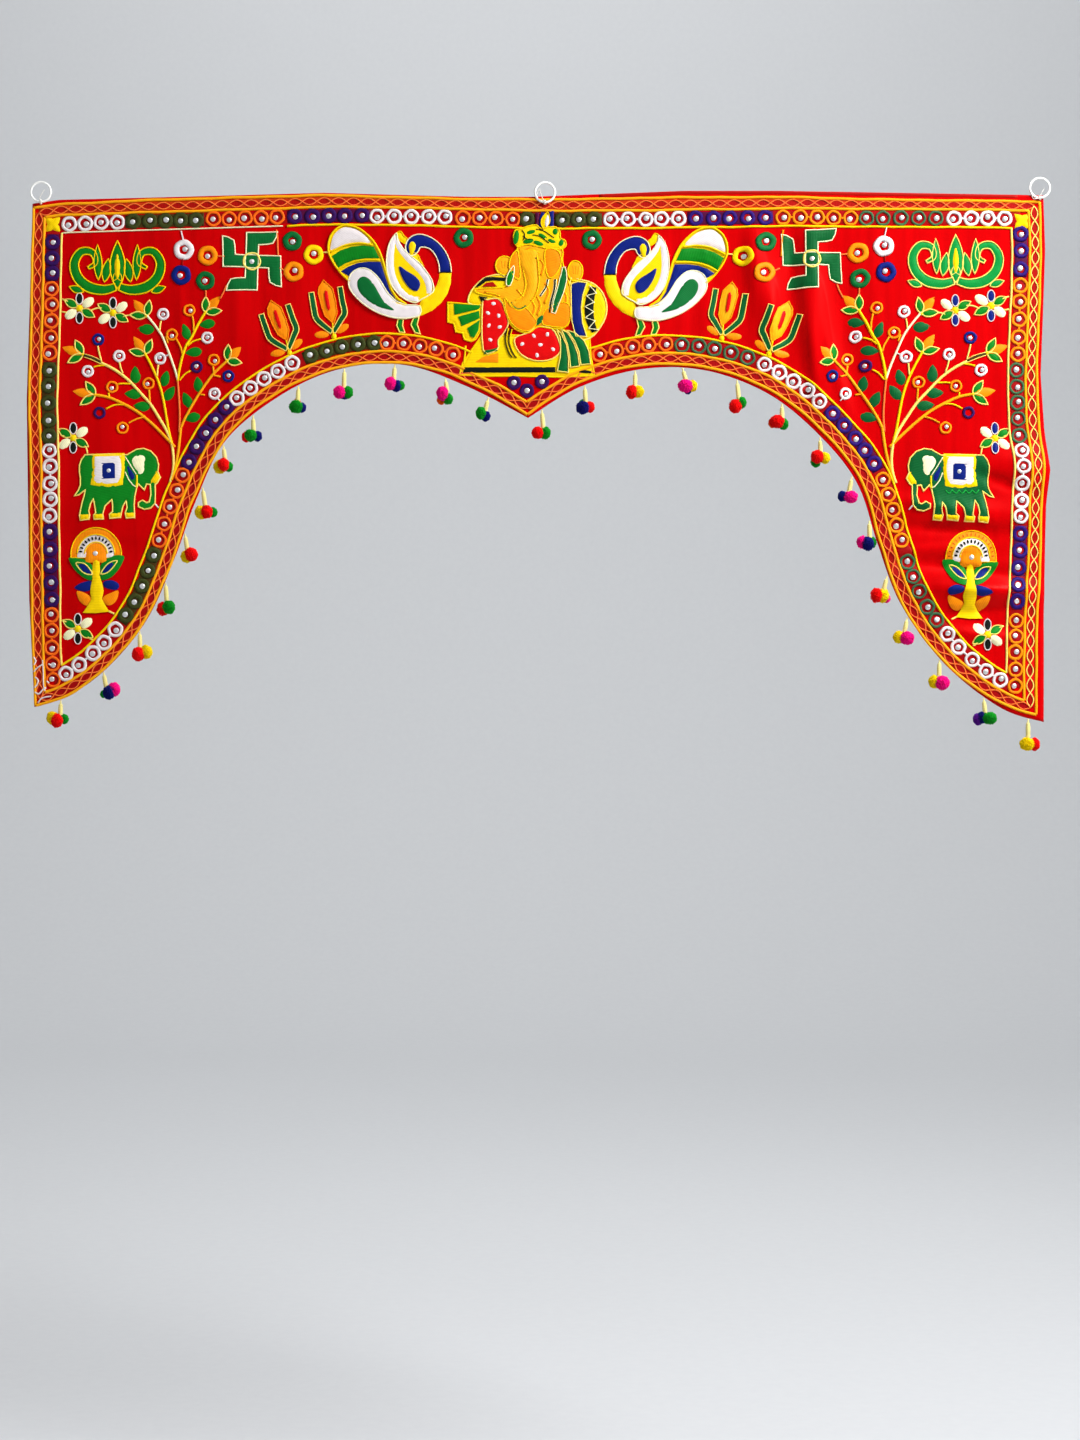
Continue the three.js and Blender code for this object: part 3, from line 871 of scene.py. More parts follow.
# Runs of border rings: side, kind, how many, and the places of the first and the last one
RING_RUNS = [
    ("top", "white", 4, (69, 224), (117, 222)), ("top", "forest", 5, (133, 221), (196, 219)),
    ("top", "orange", 5, (213, 219), (277, 217)), ("top", "purple", 5, (295, 217), (362, 216)),
    ("top", "white", 5, (377, 216), (445, 218)), ("top", "orange", 4, (463, 219), (512, 220)),
    ("top", "forest", 1, (527.6, 220), (527.6, 220)), ("top", "forest", 3, (562, 220), (594, 219)),
    ("top", "white", 5, (611, 218), (678, 216)), ("top", "purple", 5, (695, 216), (765, 215)),
    ("top", "orange", 5, (783, 216), (850, 217)), ("top", "forest", 5, (866, 218), (935, 219)),
    ("top", "white", 4, (954, 220), (1004.5, 221)), ("left", "purple", 3, (51, 242), (51, 273)),
    ("left", "orange", 5, (51, 289), (51, 353)), ("left", "forest", 5, (51, 370), (51, 436)),
    ("left", "white", 5, (51, 451), (51, 516)), ("left", "purple", 5, (51, 532), (51, 600)),
    ("left", "orange", 5, (51, 615), (51, 681)), ("right", "purple", 3, (1021, 234), (1021, 269)),
    ("right", "orange", 5, (1019, 285), (1017, 354)), ("right", "forest", 5, (1017, 370), (1019, 436)),
    ("right", "white", 5, (1020, 451), (1020, 517)), ("right", "purple", 5, (1019, 534), (1017, 602)),
    ("right", "orange", 5, (1016, 621), (1016, 686)),
    ("arch_left", "white", 5, (65.6, 672.7), (116.4, 629.4)),
    ("arch_left", "forest", 5, (127, 616), (154, 555.5)),
    ("arch_left", "orange", 5, (160, 540), (181, 475)),
    ("arch_left", "purple", 5, (187.6, 460.6), (226, 408)),
    ("arch_left", "white", 5, (237, 398), (292.5, 363)),
    ("arch_left", "forest", 5, (311.5, 356), (373.5, 344)),
    ("arch_left", "orange", 5, (387, 344), (453, 354)), ("arch_right", "orange", 5, (600, 355), (666, 345)),
    ("arch_right", "forest", 5, (682, 345), (747, 359)),
    ("arch_right", "white", 5, (765, 363), (819.5, 401)),
    ("arch_right", "purple", 5, (832, 414), (875, 463)),
    ("arch_right", "orange", 5, (884, 479), (902.5, 540.6)),
    ("arch_right", "forest", 5, (907, 562), (935.6, 620)),
    ("arch_right", "white", 5, (946, 635), (1000, 679)),
]
# Thread of a kind of ring where one half has its own, and the hole that each thread leaves
LEFT_THREADS = {"orange": "flame"}
RIGHT_THREADS = {"orange": "orange", "purple": "violet", "forest": "sage"}
RING_HOLES = {
    "white": 9.6, "flame": 10.6, "orange": 10.6, "forest": 6.4, "purple": 6.4, "violet": 7.6, "sage": 10.8,
}
# The ground that the border rings are sewn on, where it isn't the plain maroon
RING_GROUNDS = {"forest": "olive", "purple": "plum"}
# Runs that start further right than this are on the right half, whose dark green rings have plain ground
RIGHT_HALF = 600
# The point between the arches, and how far short of it the inner cords and the ring band stop
ARCH_POINT = (528, 400)
CORD_GAP, BAND_GAP = 72, 88
# The top side's inner cord is cream up to the first place; from the second one the top edge gets a dark
# brick strip, painted shade where the edge turns back
CREAM_TO = 283
SHADED_TOP_FROM = 596
# Short cords across the ends of the arches' inner cords, and the three rings at the point
CORD_ENDS = [[(465.7, 346.4), (465, 355), (464, 364.2)], [(590.1, 347.5), (590.6, 357), (590.7, 366.4)]]
TIP_RINGS = [(514, 383), (542, 382), (527, 391)]
# White cords drawn over the border's lower left corner
CORNER_WHITE_CORDS = [
    [(34.4, 657), (36.6, 661), (34.8, 665)], [(34.6, 672), (38, 668), (43.6, 664.4)],
    [(43.6, 660), (44.2, 672), (44.4, 684), (45.6, 691)],
    [(36, 677), (39, 680.6), (37.4, 685.4), (35, 688)],
    [(35.6, 692), (39.4, 694), (43.4, 690), (47, 687.6)],
    [(38.6, 703), (42, 698.6), (47, 697), (52, 696.4)], [(49.4, 664), (52.6, 665.6)],
    [(47.6, 681), (50, 683.4)],
]


class ToranBorderLines(bpy.types.Operator):
    """Add the amber cords, the crossing strands and the grounds of the strips"""
    bl_idname = "toran.border_lines"
    bl_label = "Border lines"

    def execute(self, context):
        wide = context.scene.toran_sizes.border_width / MM
        cords = Stitchwork("border_cords")
        for name, distance in BORDER_LINES.items():
            for side, line in inset_sides(distance).items():
                shade = "amber"
                if name == "inner":
                    shade = "pale" if side in ("left", "right") else "yellow"
                    if side.startswith("arch"):
                        line = self.without_tip(line, CORD_GAP)
                width = wide * (0.78 if name == "inner" else 1)
                if (name, side) == ("inner", "top"):
                    fade = line[:, 0] < CREAM_TO
                    cords.cord(line[fade], "cream", wide=1.5, high=1.4, pitch=2.2)
                    line = line[~fade]
                cords.cord(line, shade, wide=width, high=1.5, pitch=2.2, wobble=0.35)
        for line in CORD_ENDS:
            cords.cord(line, "yellow", wide=2)
        for line in CORNER_WHITE_CORDS:
            cords.cord(catmull(line, 4), "white", wide=1.7, high=1.9)
        middles = inset_sides(RING_MIDDLE)
        # A darker red band under the ring runs, which shows in the rings' holes and between them
        for side, line in middles.items():
            if side.startswith("arch"):
                line = self.without_tip(line, BAND_GAP)
            cords.cord(line, "maroon", wide=15.5, high=0.2, pitch=5)
        for side, shade, count, first, last in RING_RUNS:
            if shade not in RING_GROUNDS or (shade == "forest" and first[0] > RIGHT_HALF):
                continue
            line = spaced(middles[side], pitch=1.0)
            ends = sorted(nearest(line, place) for place in (first, last))
            part = line[max(0, ends[0] - 8):ends[1] + 9]
            cords.cord(part, RING_GROUNDS[shade], wide=15, high=0.3, pitch=4)
        # A brick strip along the top edge of the right half: painted shade where the edge turns back, not a
        # seam
        shaded_top_edge = SIDES["top"][SIDES["top"][:, 0] > SHADED_TOP_FROM] + [0, 1.9]
        cords.cord(shaded_top_edge[:-6], "brick", wide=3.4, high=0.3, pitch=4)
        cords.make()
        strands = Stitchwork("border_strands")
        for side, line in inset_sides(WAVE_MIDDLE).items():
            grounds = ("brick", "maroon") if side.startswith("arch") else ("rust", "brick")
            thread = "salmon"
            if side == "right":
                grounds, thread = ("scarlet", "brick"), "pale"
            strands.cord(line, grounds[0], wide=9.8, high=0.15, pitch=3)
            run = arc_lengths(line)
            lenses = max(1, round(run[-1] / LENS_LENGTH))
            line = spaced(line, count=lenses * LENS_STEPS + 1)
            side_way = normals(line)
            wave = WAVE_HEIGHT * np.sin(math.pi * np.arange(len(line)) / LENS_STEPS)
            for way in (1, -1):
                strand = line + side_way * (way * wave)[:, None]
                strands.cord(strand, thread, wide=1.3, high=1.1 + 0.25 * way, pitch=1.7, wobble=0.25)
            for start in range(0, len(line) - LENS_STEPS, LENS_STEPS):
                lens = slice(start, start + LENS_STEPS + 1)
                swell = side_way[lens] * np.abs(wave[lens])[:, None]
                outline = np.vstack([line[lens] + swell, (line[lens] - swell)[-2:0:-1]])
                strands.patch(outline, grounds[1], 0.3)
        strands.make()
        back = -context.scene.toran_sizes.cloth_thickness / MM
        hem = Stitchwork("turned_hem")
        for line in inset_sides(HEM_MIDDLE).values():
            hem.cord(line, "satin", wide=7.6, high=-0.5, base=back + 0.3, pitch=4)
        for line in inset_sides(HEM_SEAM).values():
            line = spaced(line, pitch=HEM_STITCH)
            for start, end in zip(line[:-1], line[1:]):
                stitch = np.array([start, start + (end - start) * 0.7])
                hem.cord(stitch, "maroon", wide=0.9, high=-0.7, base=back, pitch=4)
        hem.make()
        return {"FINISHED"}

    @staticmethod
    def without_tip(line, gap):
        """An arch's line without its end by the point, under the figure's seat."""
        return line[np.hypot(line[:, 0] - ARCH_POINT[0], line[:, 1] - ARCH_POINT[1]) > gap]


class ToranBorderRings(bpy.types.Operator):
    """Add the runs of thread rings with their mirrors"""
    bl_idname = "toran.border_rings"
    bl_label = "Border rings"

    def execute(self, context):
        outer = context.scene.toran_sizes.border_ring / MM
        rings = Stitchwork("border_rings")
        middles = inset_sides(RING_MIDDLE)
        for side, shade, count, first, last in RING_RUNS:
            line = spaced(middles[side], pitch=1.0)
            ends = [nearest(line, place) for place in (first, last)]
            thread = (RIGHT_THREADS if first[0] > RIGHT_HALF else LEFT_THREADS).get(shade, shade)
            hole = RING_HOLES[thread]
            before = None
            for k in range(count):
                at = round(ends[0] + (ends[1] - ends[0]) * (k / max(1, count - 1)))
                right, down = line[at] + [rings.random.uniform(-0.5, 0.5), rings.random.uniform(-0.5, 0.5)]
                spot = np.array([right, down])
                if before is not None and shade in ("white", "orange"):
                    way = (spot - before) / np.hypot(*(spot - before))
                    reach = outer / 2 - 0.8
                    rings.cord([before + way * reach, spot - way * reach], thread, wide=2.4, high=1.1)
                before = spot
                if shade == "purple":
                    rings.patch(oval(right, down, 4.0, count=16), "maroon", 0.5)
                rings.ring(right, down, outer * rings.random.uniform(0.97, 1.03), hole, thread)
                stray = 1.4 if shade in ("white", "orange") else 1.1
                rings.mirror(
                    right + rings.random.uniform(-stray, stray),
                    down + rings.random.uniform(-stray, stray),
                    rings.random.uniform(0.92, 1.06),
                )
        for right, down in TIP_RINGS:
            rings.ring(right, down, 14.5, 6.2, "purple")
            rings.mirror(right, down)
        rings.make()
        return {"FINISHED"}


# Field motifs. All are drawn for the left half; the right half is the same pattern turned over.

def turned_over(points):
    """Points of the left half carried to the right half, which isn't an exact mirror image of it: its outer
    side, its foot, its upper corner and the tree's boughs are each drawn some millimetres off."""
    points = np.array(points, dtype=float)
    right, down = points[:, 0].copy(), points[:, 1].copy()
    outer = np.clip((320 - right) / 130, 0, 1)
    low = np.clip((down - 500) / 130, 0, 1)
    corner = np.clip((100 - right) / 20, 0, 1) * np.clip((400 - down) / 60, 0, 1)
    boughs = np.exp(-((right - 200) / 42) ** 2 - ((down - 410) / 95) ** 2)
    points[:, 0] = 1055.5 + 12.5 * outer - 2.6 * low + 2.6 * corner - 6.5 * boughs - right
    points[:, 1] = down + outer * (down - 425) * 0.021 + (1 - outer) * 2.2 + 3 * np.minimum(low, 0.5)
    return points


def band(path, widths, steps=8):
    """Outline of a curved band whose width changes along its path."""
    line = catmull(path, steps)
    share = arc_lengths(line)
    wide = np.interp(share / share[-1], np.linspace(0, 1, len(widths)), widths)
    side = normals(line) * (wide / 2)[:, None]
    return np.vstack([line + side, (line - side)[::-1]])


def curved(points):
    """A closed outline, rounded through its points."""
    return catmull(points, 3, closed=True)


# Rings of the left half's field: right, down, outer and hole diameters, thread; and what joins them
FIELD_RINGS = [
    (184, 250, 20.5, 9, "white"), (181.3, 275.3, 20, 8.6, "navy"), (207.9, 255.8, 20, 9, "orange"),
    (205.6, 281, 19, 8.6, "emerald"), (292.4, 241.3, 19.5, 7.5, "emerald"), (293.8, 271.8, 20, 9, "orange"),
    (313.6, 254.6, 20, 9, "yellow"), (463.7, 238.1, 20, 8, "emerald"),
]
FIELD_THREADS = [
    ("white", [(181.2, 231), (182.4, 236), (183.4, 240.5)]), ("maroon", [(183, 259), (182.5, 266)]),
    ("salmon", [(217.5, 256.4), (224.5, 256.6)]), ("salmon", [(279.6, 268), (285, 270.6)]),
    ("pale", [(323, 252.2), (329.5, 252)]), ("salmon", [(206, 290.4), (206, 297)]),
    ("salmon", [(226.6, 286), (224, 292.5), (220.5, 299)]),
]


class ToranFieldRings(bpy.types.Operator):
    """Add the larger thread rings of the field and the threads that join them"""
    bl_idname = "toran.field_rings"
    bl_label = "Field rings"

    def execute(self, context):
        work = Stitchwork("field_rings")
        for work.turned in (False, True):
            for right, down, outer, hole, shade in FIELD_RINGS:
                work.ring(right, down, outer, hole, shade, high=1.5, count=28)
                work.mirror(
                    right + work.random.uniform(-1.2, 1.2), down + work.random.uniform(-1.2, 1.2), 0.95,
                )
            for shade, path in FIELD_THREADS:
                work.cord(catmull(path, 4), shade, wide=1.5, base=0.4)
        work.make()
        return {"FINISHED"}


# One arm of the cross ornament, from its hub, to the upper right of its middle
CROSS_ARM = [
    (-6, -6.4), (-6, -28.6), (8, -29), (24.6, -30), (23.6, -24.6), (20.4, -18.6), (15, -17.4), (6.2, -16.8),
    (6, -6.4),
]


class ToranCrosses(bpy.types.Operator):
    """Add the two hooked good-luck crosses, turned the same way on both sides"""
    bl_idname = "toran.crosses"
    bl_label = "Good-luck crosses"

    def execute(self, context):
        work = Stitchwork("good_luck_crosses")
        for middle, tilt, green in (((252, 261.5), 1.5, "emerald"), ((811.6, 259), -0.5, "bottle")):
            for quarter in range(4):
                turn = math.radians(90 * quarter + tilt)
                c, s = math.cos(turn), math.sin(turn)
                arm = np.array([(x * c - y * s, x * s + y * c) for x, y in CROSS_ARM]) + middle
                work.shape(arm, green, edge="cream", turn=math.degrees(turn), wide=1.4)
            work.fill(oval(*middle, 8.6), green, high=1.2)
            work.ring(*middle, 18.6, 14.6, "pale", high=1.7, count=28)
            work.mirror(middle[0], middle[1] + 0.4, 0.9, high=1.9)
        for work.turned in (False, True):
            rail = [(276.5, 230), (277.6, 238), (277.8, 247), (278.3, 256)]
            work.cord(catmull(rail, 4), "orange" if work.turned else "salmon", wide=1.7, base=0.4)
        work.make()
        return {"FINISHED"}


# Vine scroll, right and down of its middle, for one side
SCROLL_STEM = [(2, 20), (14, 23), (29, 20), (40, 10), (43, -4), (36, -15), (25, -14), (22, -4), (29, 1)]
SCROLL_WIDTHS = [7, 9, 10, 9.5, 9, 8, 7, 5, 3]
SCROLL_LEAVES = [
    ((13, 15), (9, -8), 8.5), ((19, 13), (20, -22), 8), ((34, 25), (48, 20), 7), ((4, 14), (-2, 3), 5),
]


class ToranScrolls(bpy.types.Operator):
    """Add the green vine scrolls in the two upper corners"""
    bl_idname = "toran.vine_scrolls"
    bl_label = "Vine scrolls"

    def execute(self, context):
        work = Stitchwork("vine_scrolls")
        for middle, shade, edge in (((117.5, 267), "green", "yellow"), ((955.5, 261), "leaf", "pale")):
            for way in (-1, 1):
                def at(points):
                    return np.asarray(points, float) * [way, 1] + middle
                stem = band(SCROLL_STEM, SCROLL_WIDTHS)
                work.shape(at(stem), shade, edge=edge, turn=20 * way, wide=1.4)
                for base, tip, wide in SCROLL_LEAVES:
                    work.shape(leaf(at([base])[0], at([tip])[0], wide), shade, edge=edge, wide=1.2)
            bud = leaf((middle[0], middle[1] + 22), (middle[0], middle[1] - 26), 15)
            work.shape(bud, shade, edge=edge, turn=90, wide=1.4)
            vein = leaf((middle[0], middle[1] + 14), (middle[0], middle[1] - 15), 6)
            work.fill(vein, "yellow", base=0.8)
        work.make()
        return {"FINISHED"}


# A tulip from its base: right and down
TULIP_BUD = [
    (-9.7, -53), (-0.5, -44.5), (2.3, -33), (4, -20.4), (0.8, -9), (-8, -17), (-11.4, -26.2), (-14.9, -40),
    (-14.3, -45.7),
]
TULIP_SLOT = [
    (-9.6, -40), (-8.2, -43.6), (-5.6, -42.6), (-3.6, -33), (-2, -24.6), (-3.4, -21), (-6.2, -24),
    (-8.6, -33),
]
TULIP_LEAVES = [
    [(-21.8, -40.5), (-19.4, -26), (-17.2, -15.8), (-12.6, -10.1), (-1.1, -0.9)],
    [(6.9, -46.2), (9.3, -32), (11.5, -20.4), (8, -13.5), (0.6, -0.9)],
]
TULIPS = [((333, 333), 0, 1.0), ((288.3, 350), -9, 0.97)]


class ToranTulips(bpy.types.Operator):
    """Add the four tulips with their leaves"""
    bl_idname = "toran.tulips"
    bl_label = "Tulips"

    def execute(self, context):
        work = Stitchwork("tulips")
        for work.turned in (False, True):
            bud = "amber" if work.turned else "orange"
            for base, lean, scale in TULIPS:
                c, s = math.cos(math.radians(lean)) * scale, math.sin(math.radians(lean)) * scale

                def at(points):
                    return np.array([(base[0] + x * c - y * s, base[1] + x * s + y * c) for x, y in points])
                work.shape(at(TULIP_BUD), bud, edge=bud, turn=lean + 10, wide=1.1, high=1.0)
                slot = at(TULIP_SLOT)
                slot = slot.mean(axis=0) + (slot - slot.mean(axis=0)) * [0.8, 0.92]
                work.fill(slot, "scarlet", base=1.7, high=0.8)
                for path in TULIP_LEAVES:
                    line = catmull(at(path), 4)
                    work.fill(band(line, [4.8, 4.8], 1), "bottle", high=0.8, base=0.5)
                    work.cord(band(line, [5, 5.4, 5.4, 4.2], 1), "pale", wide=1.1, high=1.4, closed=True)
                for petal in (((-11, 1.6), (-1, 1.4), -4), ((9.4, -4.4), (2, 0), -32)):
                    spot = at([petal[0]])[0]
                    work.fill(oval(*spot, 7.4, 3.5, petal[2] + lean, 20), "orange")
                work.fill(oval(*at([(1, 3.6)])[0], 2.6, 3.2, 0, 12), "yellow", high=1.8)
                work.cord(at([(-0.4, -10), (0.2, 3)]), "yellow", wide=1.6, high=1.4)
        work.make()
        return {"FINISHED"}


# The peacock that faces right: outlines on the pattern
TAIL = [
    (346.3, 225.4), (339, 227.4), (332.6, 233), (329, 241), (328.3, 250.5), (331, 258.3), (337, 268),
    (343.8, 276), (350, 281), (362, 286), (376, 292), (388, 300), (398, 304), (407, 305.4), (398, 299),
    (391.5, 289), (386.6, 274), (382, 258), (375.8, 245), (368.6, 236.2), (358, 228.2),
]
TAIL_WHITE = [
    (346.4, 227.4), (339.6, 229.6), (334.2, 234.8), (331.4, 242), (330.6, 250), (337, 247.6), (346, 244.4),
    (358, 242.2), (370, 243.2), (366.6, 237.4), (357.4, 230.2),
]
TAIL_GREEN = [
    (331.8, 256), (340, 250.6), (351, 246.8), (363, 245.6), (374, 246.8), (379.4, 258.6), (366, 258.6),
    (354, 260.2), (345, 263.6), (338, 267.8),
]
TAIL_NAVY = [
    (340.8, 271.4), (348, 266.8), (357, 263.4), (368, 262), (380.8, 262.4), (385, 276), (389.6, 290),
    (396, 300), (405, 304.6), (397.6, 302), (389.6, 294), (383, 285), (376.8, 276), (369, 270.4),
    (361, 268), (355, 270), (350.4, 277),
]
TAIL_RAILS = [
    [(330.6, 252.4), (338, 248.4), (347, 244.8), (360, 243.4), (372.6, 245.2)],
    [(337.6, 269.6), (346, 264.8), (357, 261), (369, 260), (380.4, 260.6)],
]
LOWER_PAISLEY = [
    (419.6, 306.6), (420, 315.6), (411.9, 318.2), (402.3, 319), (390.8, 317.6), (377.4, 312.8),
    (365.9, 306), (356.4, 297.6), (350, 289), (348.6, 281), (351.6, 273.2), (358.3, 269), (365.4, 268.6),
    (371.8, 271.6), (378.6, 278.4), (383.4, 286), (389, 294.6), (396.8, 301.8), (406.2, 305.4),
]
LOWER_DROP = [
    (394.6, 310.8), (385, 303), (379.4, 294.4), (374.6, 285.8), (368.8, 279), (363.2, 277), (358.8, 279.4),
    (357.2, 284), (359.2, 291.6), (365.9, 299.4), (375.5, 306), (385, 309.6),
]
WING = [
    (396.6, 233.6), (390.8, 240.8), (387.5, 251.4), (386.6, 263), (388, 274.5), (392, 286), (398.8, 294.8),
    (407.2, 300.8), (416, 303.2), (421.2, 300.2), (427.4, 296.8), (433.4, 292), (433.4, 286),
    (431.4, 279.6), (426, 271.2), (418.6, 262.6), (409, 254.8), (401.2, 247), (397.4, 240),
]
WING_LEFT_STRIP = [
    (396.4, 236), (392, 245), (390.4, 256), (390.6, 268), (393.4, 280), (399.4, 290.4), (408, 297.6),
    (419, 300),
]
WING_RIGHT_STRIP = [
    (396, 238), (399.6, 247.6), (407.6, 257.4), (416.4, 266), (424.6, 275), (429, 284), (429.2, 294),
]
WING_STRIPS = [
    (WING_LEFT_STRIP, [4, 7, 7.4, 7, 7, 6.6, 5.6, 4.6], 10),
    (WING_RIGHT_STRIP, [3.4, 5.6, 6.6, 7, 7, 7.4, 4.4], 40),
]
WING_DROP = [
    (399.4, 266.6), (407, 271.6), (415.8, 277.2), (419.8, 282.4), (420, 287.4), (417, 291.6), (411, 289.8),
    (405.2, 283), (400.9, 274.6),
]
BREAST = [
    (451.6, 272.6), (450.9, 284), (447.4, 294.6), (441.4, 303.4), (432.8, 310.9), (421.6, 316.2),
    (419.4, 315.6), (419.4, 306), (421.4, 299.6), (427.2, 297.4), (432.4, 292.4), (436.8, 285.8),
    (439.2, 278.4), (439.7, 272.6),
]
NECK = [
    (451.4, 272.6), (450, 262.6), (445.8, 252.4), (438.9, 243.6), (431, 237.8), (421.6, 234.7),
    (414, 235.6), (408.2, 239.8), (405.6, 246.4), (406.6, 252), (410.4, 255.8), (414.4, 255.4),
    (418, 251.8), (421, 247.4), (429.8, 249.2), (435.8, 256.2), (439, 264.8), (439.6, 272.6),
]
BEAK = [
    (411, 250.4), (409.4, 255.4), (411.9, 258.6), (417.6, 262.6), (423.9, 266.4), (420.4, 260),
    (418.4, 255.6),
]
EYE_DROP = [(412.3, 241.6), (415.6, 244.7), (415.2, 249.6), (411.8, 256), (409.4, 250.4), (409.4, 244.9)]
CREST = [
    (398, 232), (401.4, 231.8), (404.2, 236.4), (407.6, 239.4), (405.4, 243.8), (401.2, 241.6),
    (397, 239.2), (395.4, 235.6),
]
LEGS = [
    [(400.6, 319), (403.4, 320.2), (402.5, 326), (404.9, 333), (399.8, 332.6), (396.8, 326), (398.2, 320)],
    [(413.6, 318.6), (419, 317.6), (417.2, 325), (420.4, 334.4), (415.2, 333.2), (411, 325.2)],
]


class ToranPeacocks(bpy.types.Operator):
    """Add the pair of peacocks that face the middle"""
    bl_idname = "toran.peacocks"
    bl_label = "Peacocks"

    def execute(self, context):
        work = Stitchwork("peacocks")
        for work.turned in (False, True):
            work.fill(curved(TAIL), "yellow", high=0.7)
            work.fill(curved(TAIL_WHITE), "white", turn=60, base=0.9)
            work.fill(TAIL_GREEN, "green", turn=10, base=0.9)
            work.fill(TAIL_NAVY, "navy", turn=15, base=0.9)
            for rail in TAIL_RAILS:
                work.cord(catmull(rail, 4), "yellow", wide=2.3, high=2.6)
            work.cord(curved(TAIL), "yellow", wide=2.3, high=2.4, closed=True)
            work.fill(curved(LOWER_PAISLEY), "white", turn=35, base=1.6, high=0.9)
            work.cord(curved(LOWER_PAISLEY), "cream", wide=1.5, high=2.6, closed=True)
            work.fill(curved(LOWER_DROP), "emerald", turn=50, base=2.5, high=0.6, pitch=1.6)
            work.fill(curved(WING), "yellow", turn=60, base=0.6, high=0.8)
            for strip, widths, turn in WING_STRIPS:
                work.fill(band(strip, widths), "white", turn=turn, base=1.4, high=0.8)
            work.cord(curved(WING), "cream", wide=1.4, high=2.4, closed=True)
            work.fill(curved(WING_DROP), "navy", turn=50, base=2.0, high=0.7, pitch=1.6)
            work.fill(BREAST, "yellow", turn=30, high=1.3)
            work.fill(NECK, "navy", turn=45, high=1.3)
            work.cord(catmull(NECK, 4), "cream", wide=1.3, high=1.6)
            work.cord([(451.2, 272.6), (439.8, 272.6)], "black", wide=1.2, high=1.5)
            work.shape(BEAK, "yellow", edge="yellow", wide=1.0)
            work.fill(curved(EYE_DROP), "yellow", base=1.3, high=0.8, pitch=1.4)
            work.shape(curved(CREST), "yellow", edge="yellow", wide=1.0)
            for leg in LEGS:
                work.shape(leg, "green", edge="pale", wide=1.4)
        work.make()
        return {"FINISHED"}


# Flowers of six petals, and the threads that tie them to what is near
FLOWERS = [(79.6, 308.4), (112.9, 312.8), (73.7, 438.2), (78.8, 629)]
FLOWER_LINKS = [
    [(62, 299.2), (67, 301), (72, 304)], [(62, 311.8), (67, 312.6)], [(90, 311), (96, 308.4), (103, 308)],
    [(122, 317.6), (126, 315.6), (131, 315)], [(62, 436), (66, 436)],
    [(82.6, 442), (86.4, 447.6), (88, 454)], [(62.5, 620.6), (70, 623)],
    [(87, 634), (91, 639), (93.6, 639.4)],
]


class ToranFlowers(bpy.types.Operator):
    """Add the small six-petalled flowers"""
    bl_idname = "toran.flowers"
    bl_label = "Flowers"

    def execute(self, context):
        work = Stitchwork("flowers")
        for work.turned in (False, True):
            for path in FLOWER_LINKS:
                work.cord(catmull(path, 4), "pale", wide=1.6)
            for right, down in FLOWERS:
                upright = "navy" if work.turned and down < 500 else "black"
                for way in (-1, 1):
                    petal = oval(right, down + way * 9.6, 3.4, 5.6, 0, 20)
                    work.shape(petal, upright, edge="white", turn=90, wide=1.1)
                    tip = (right + way * 15, down + way * 8.6)
                    petal = leaf((right + way * 2, down + way * 1.4), tip, 8)
                    work.shape(petal, "green", edge="pale", turn=30, wide=1.2)
                    petal = oval(right - way * 8.6, down + way * 5.8, 6.8, 4.4, -36, 20)
                    work.fill(petal, "cream", turn=-36, high=1.5)
                work.fill(oval(right, down, 3.6, count=16), "yellow", high=1.9)
        work.make()
        return {"FINISHED"}


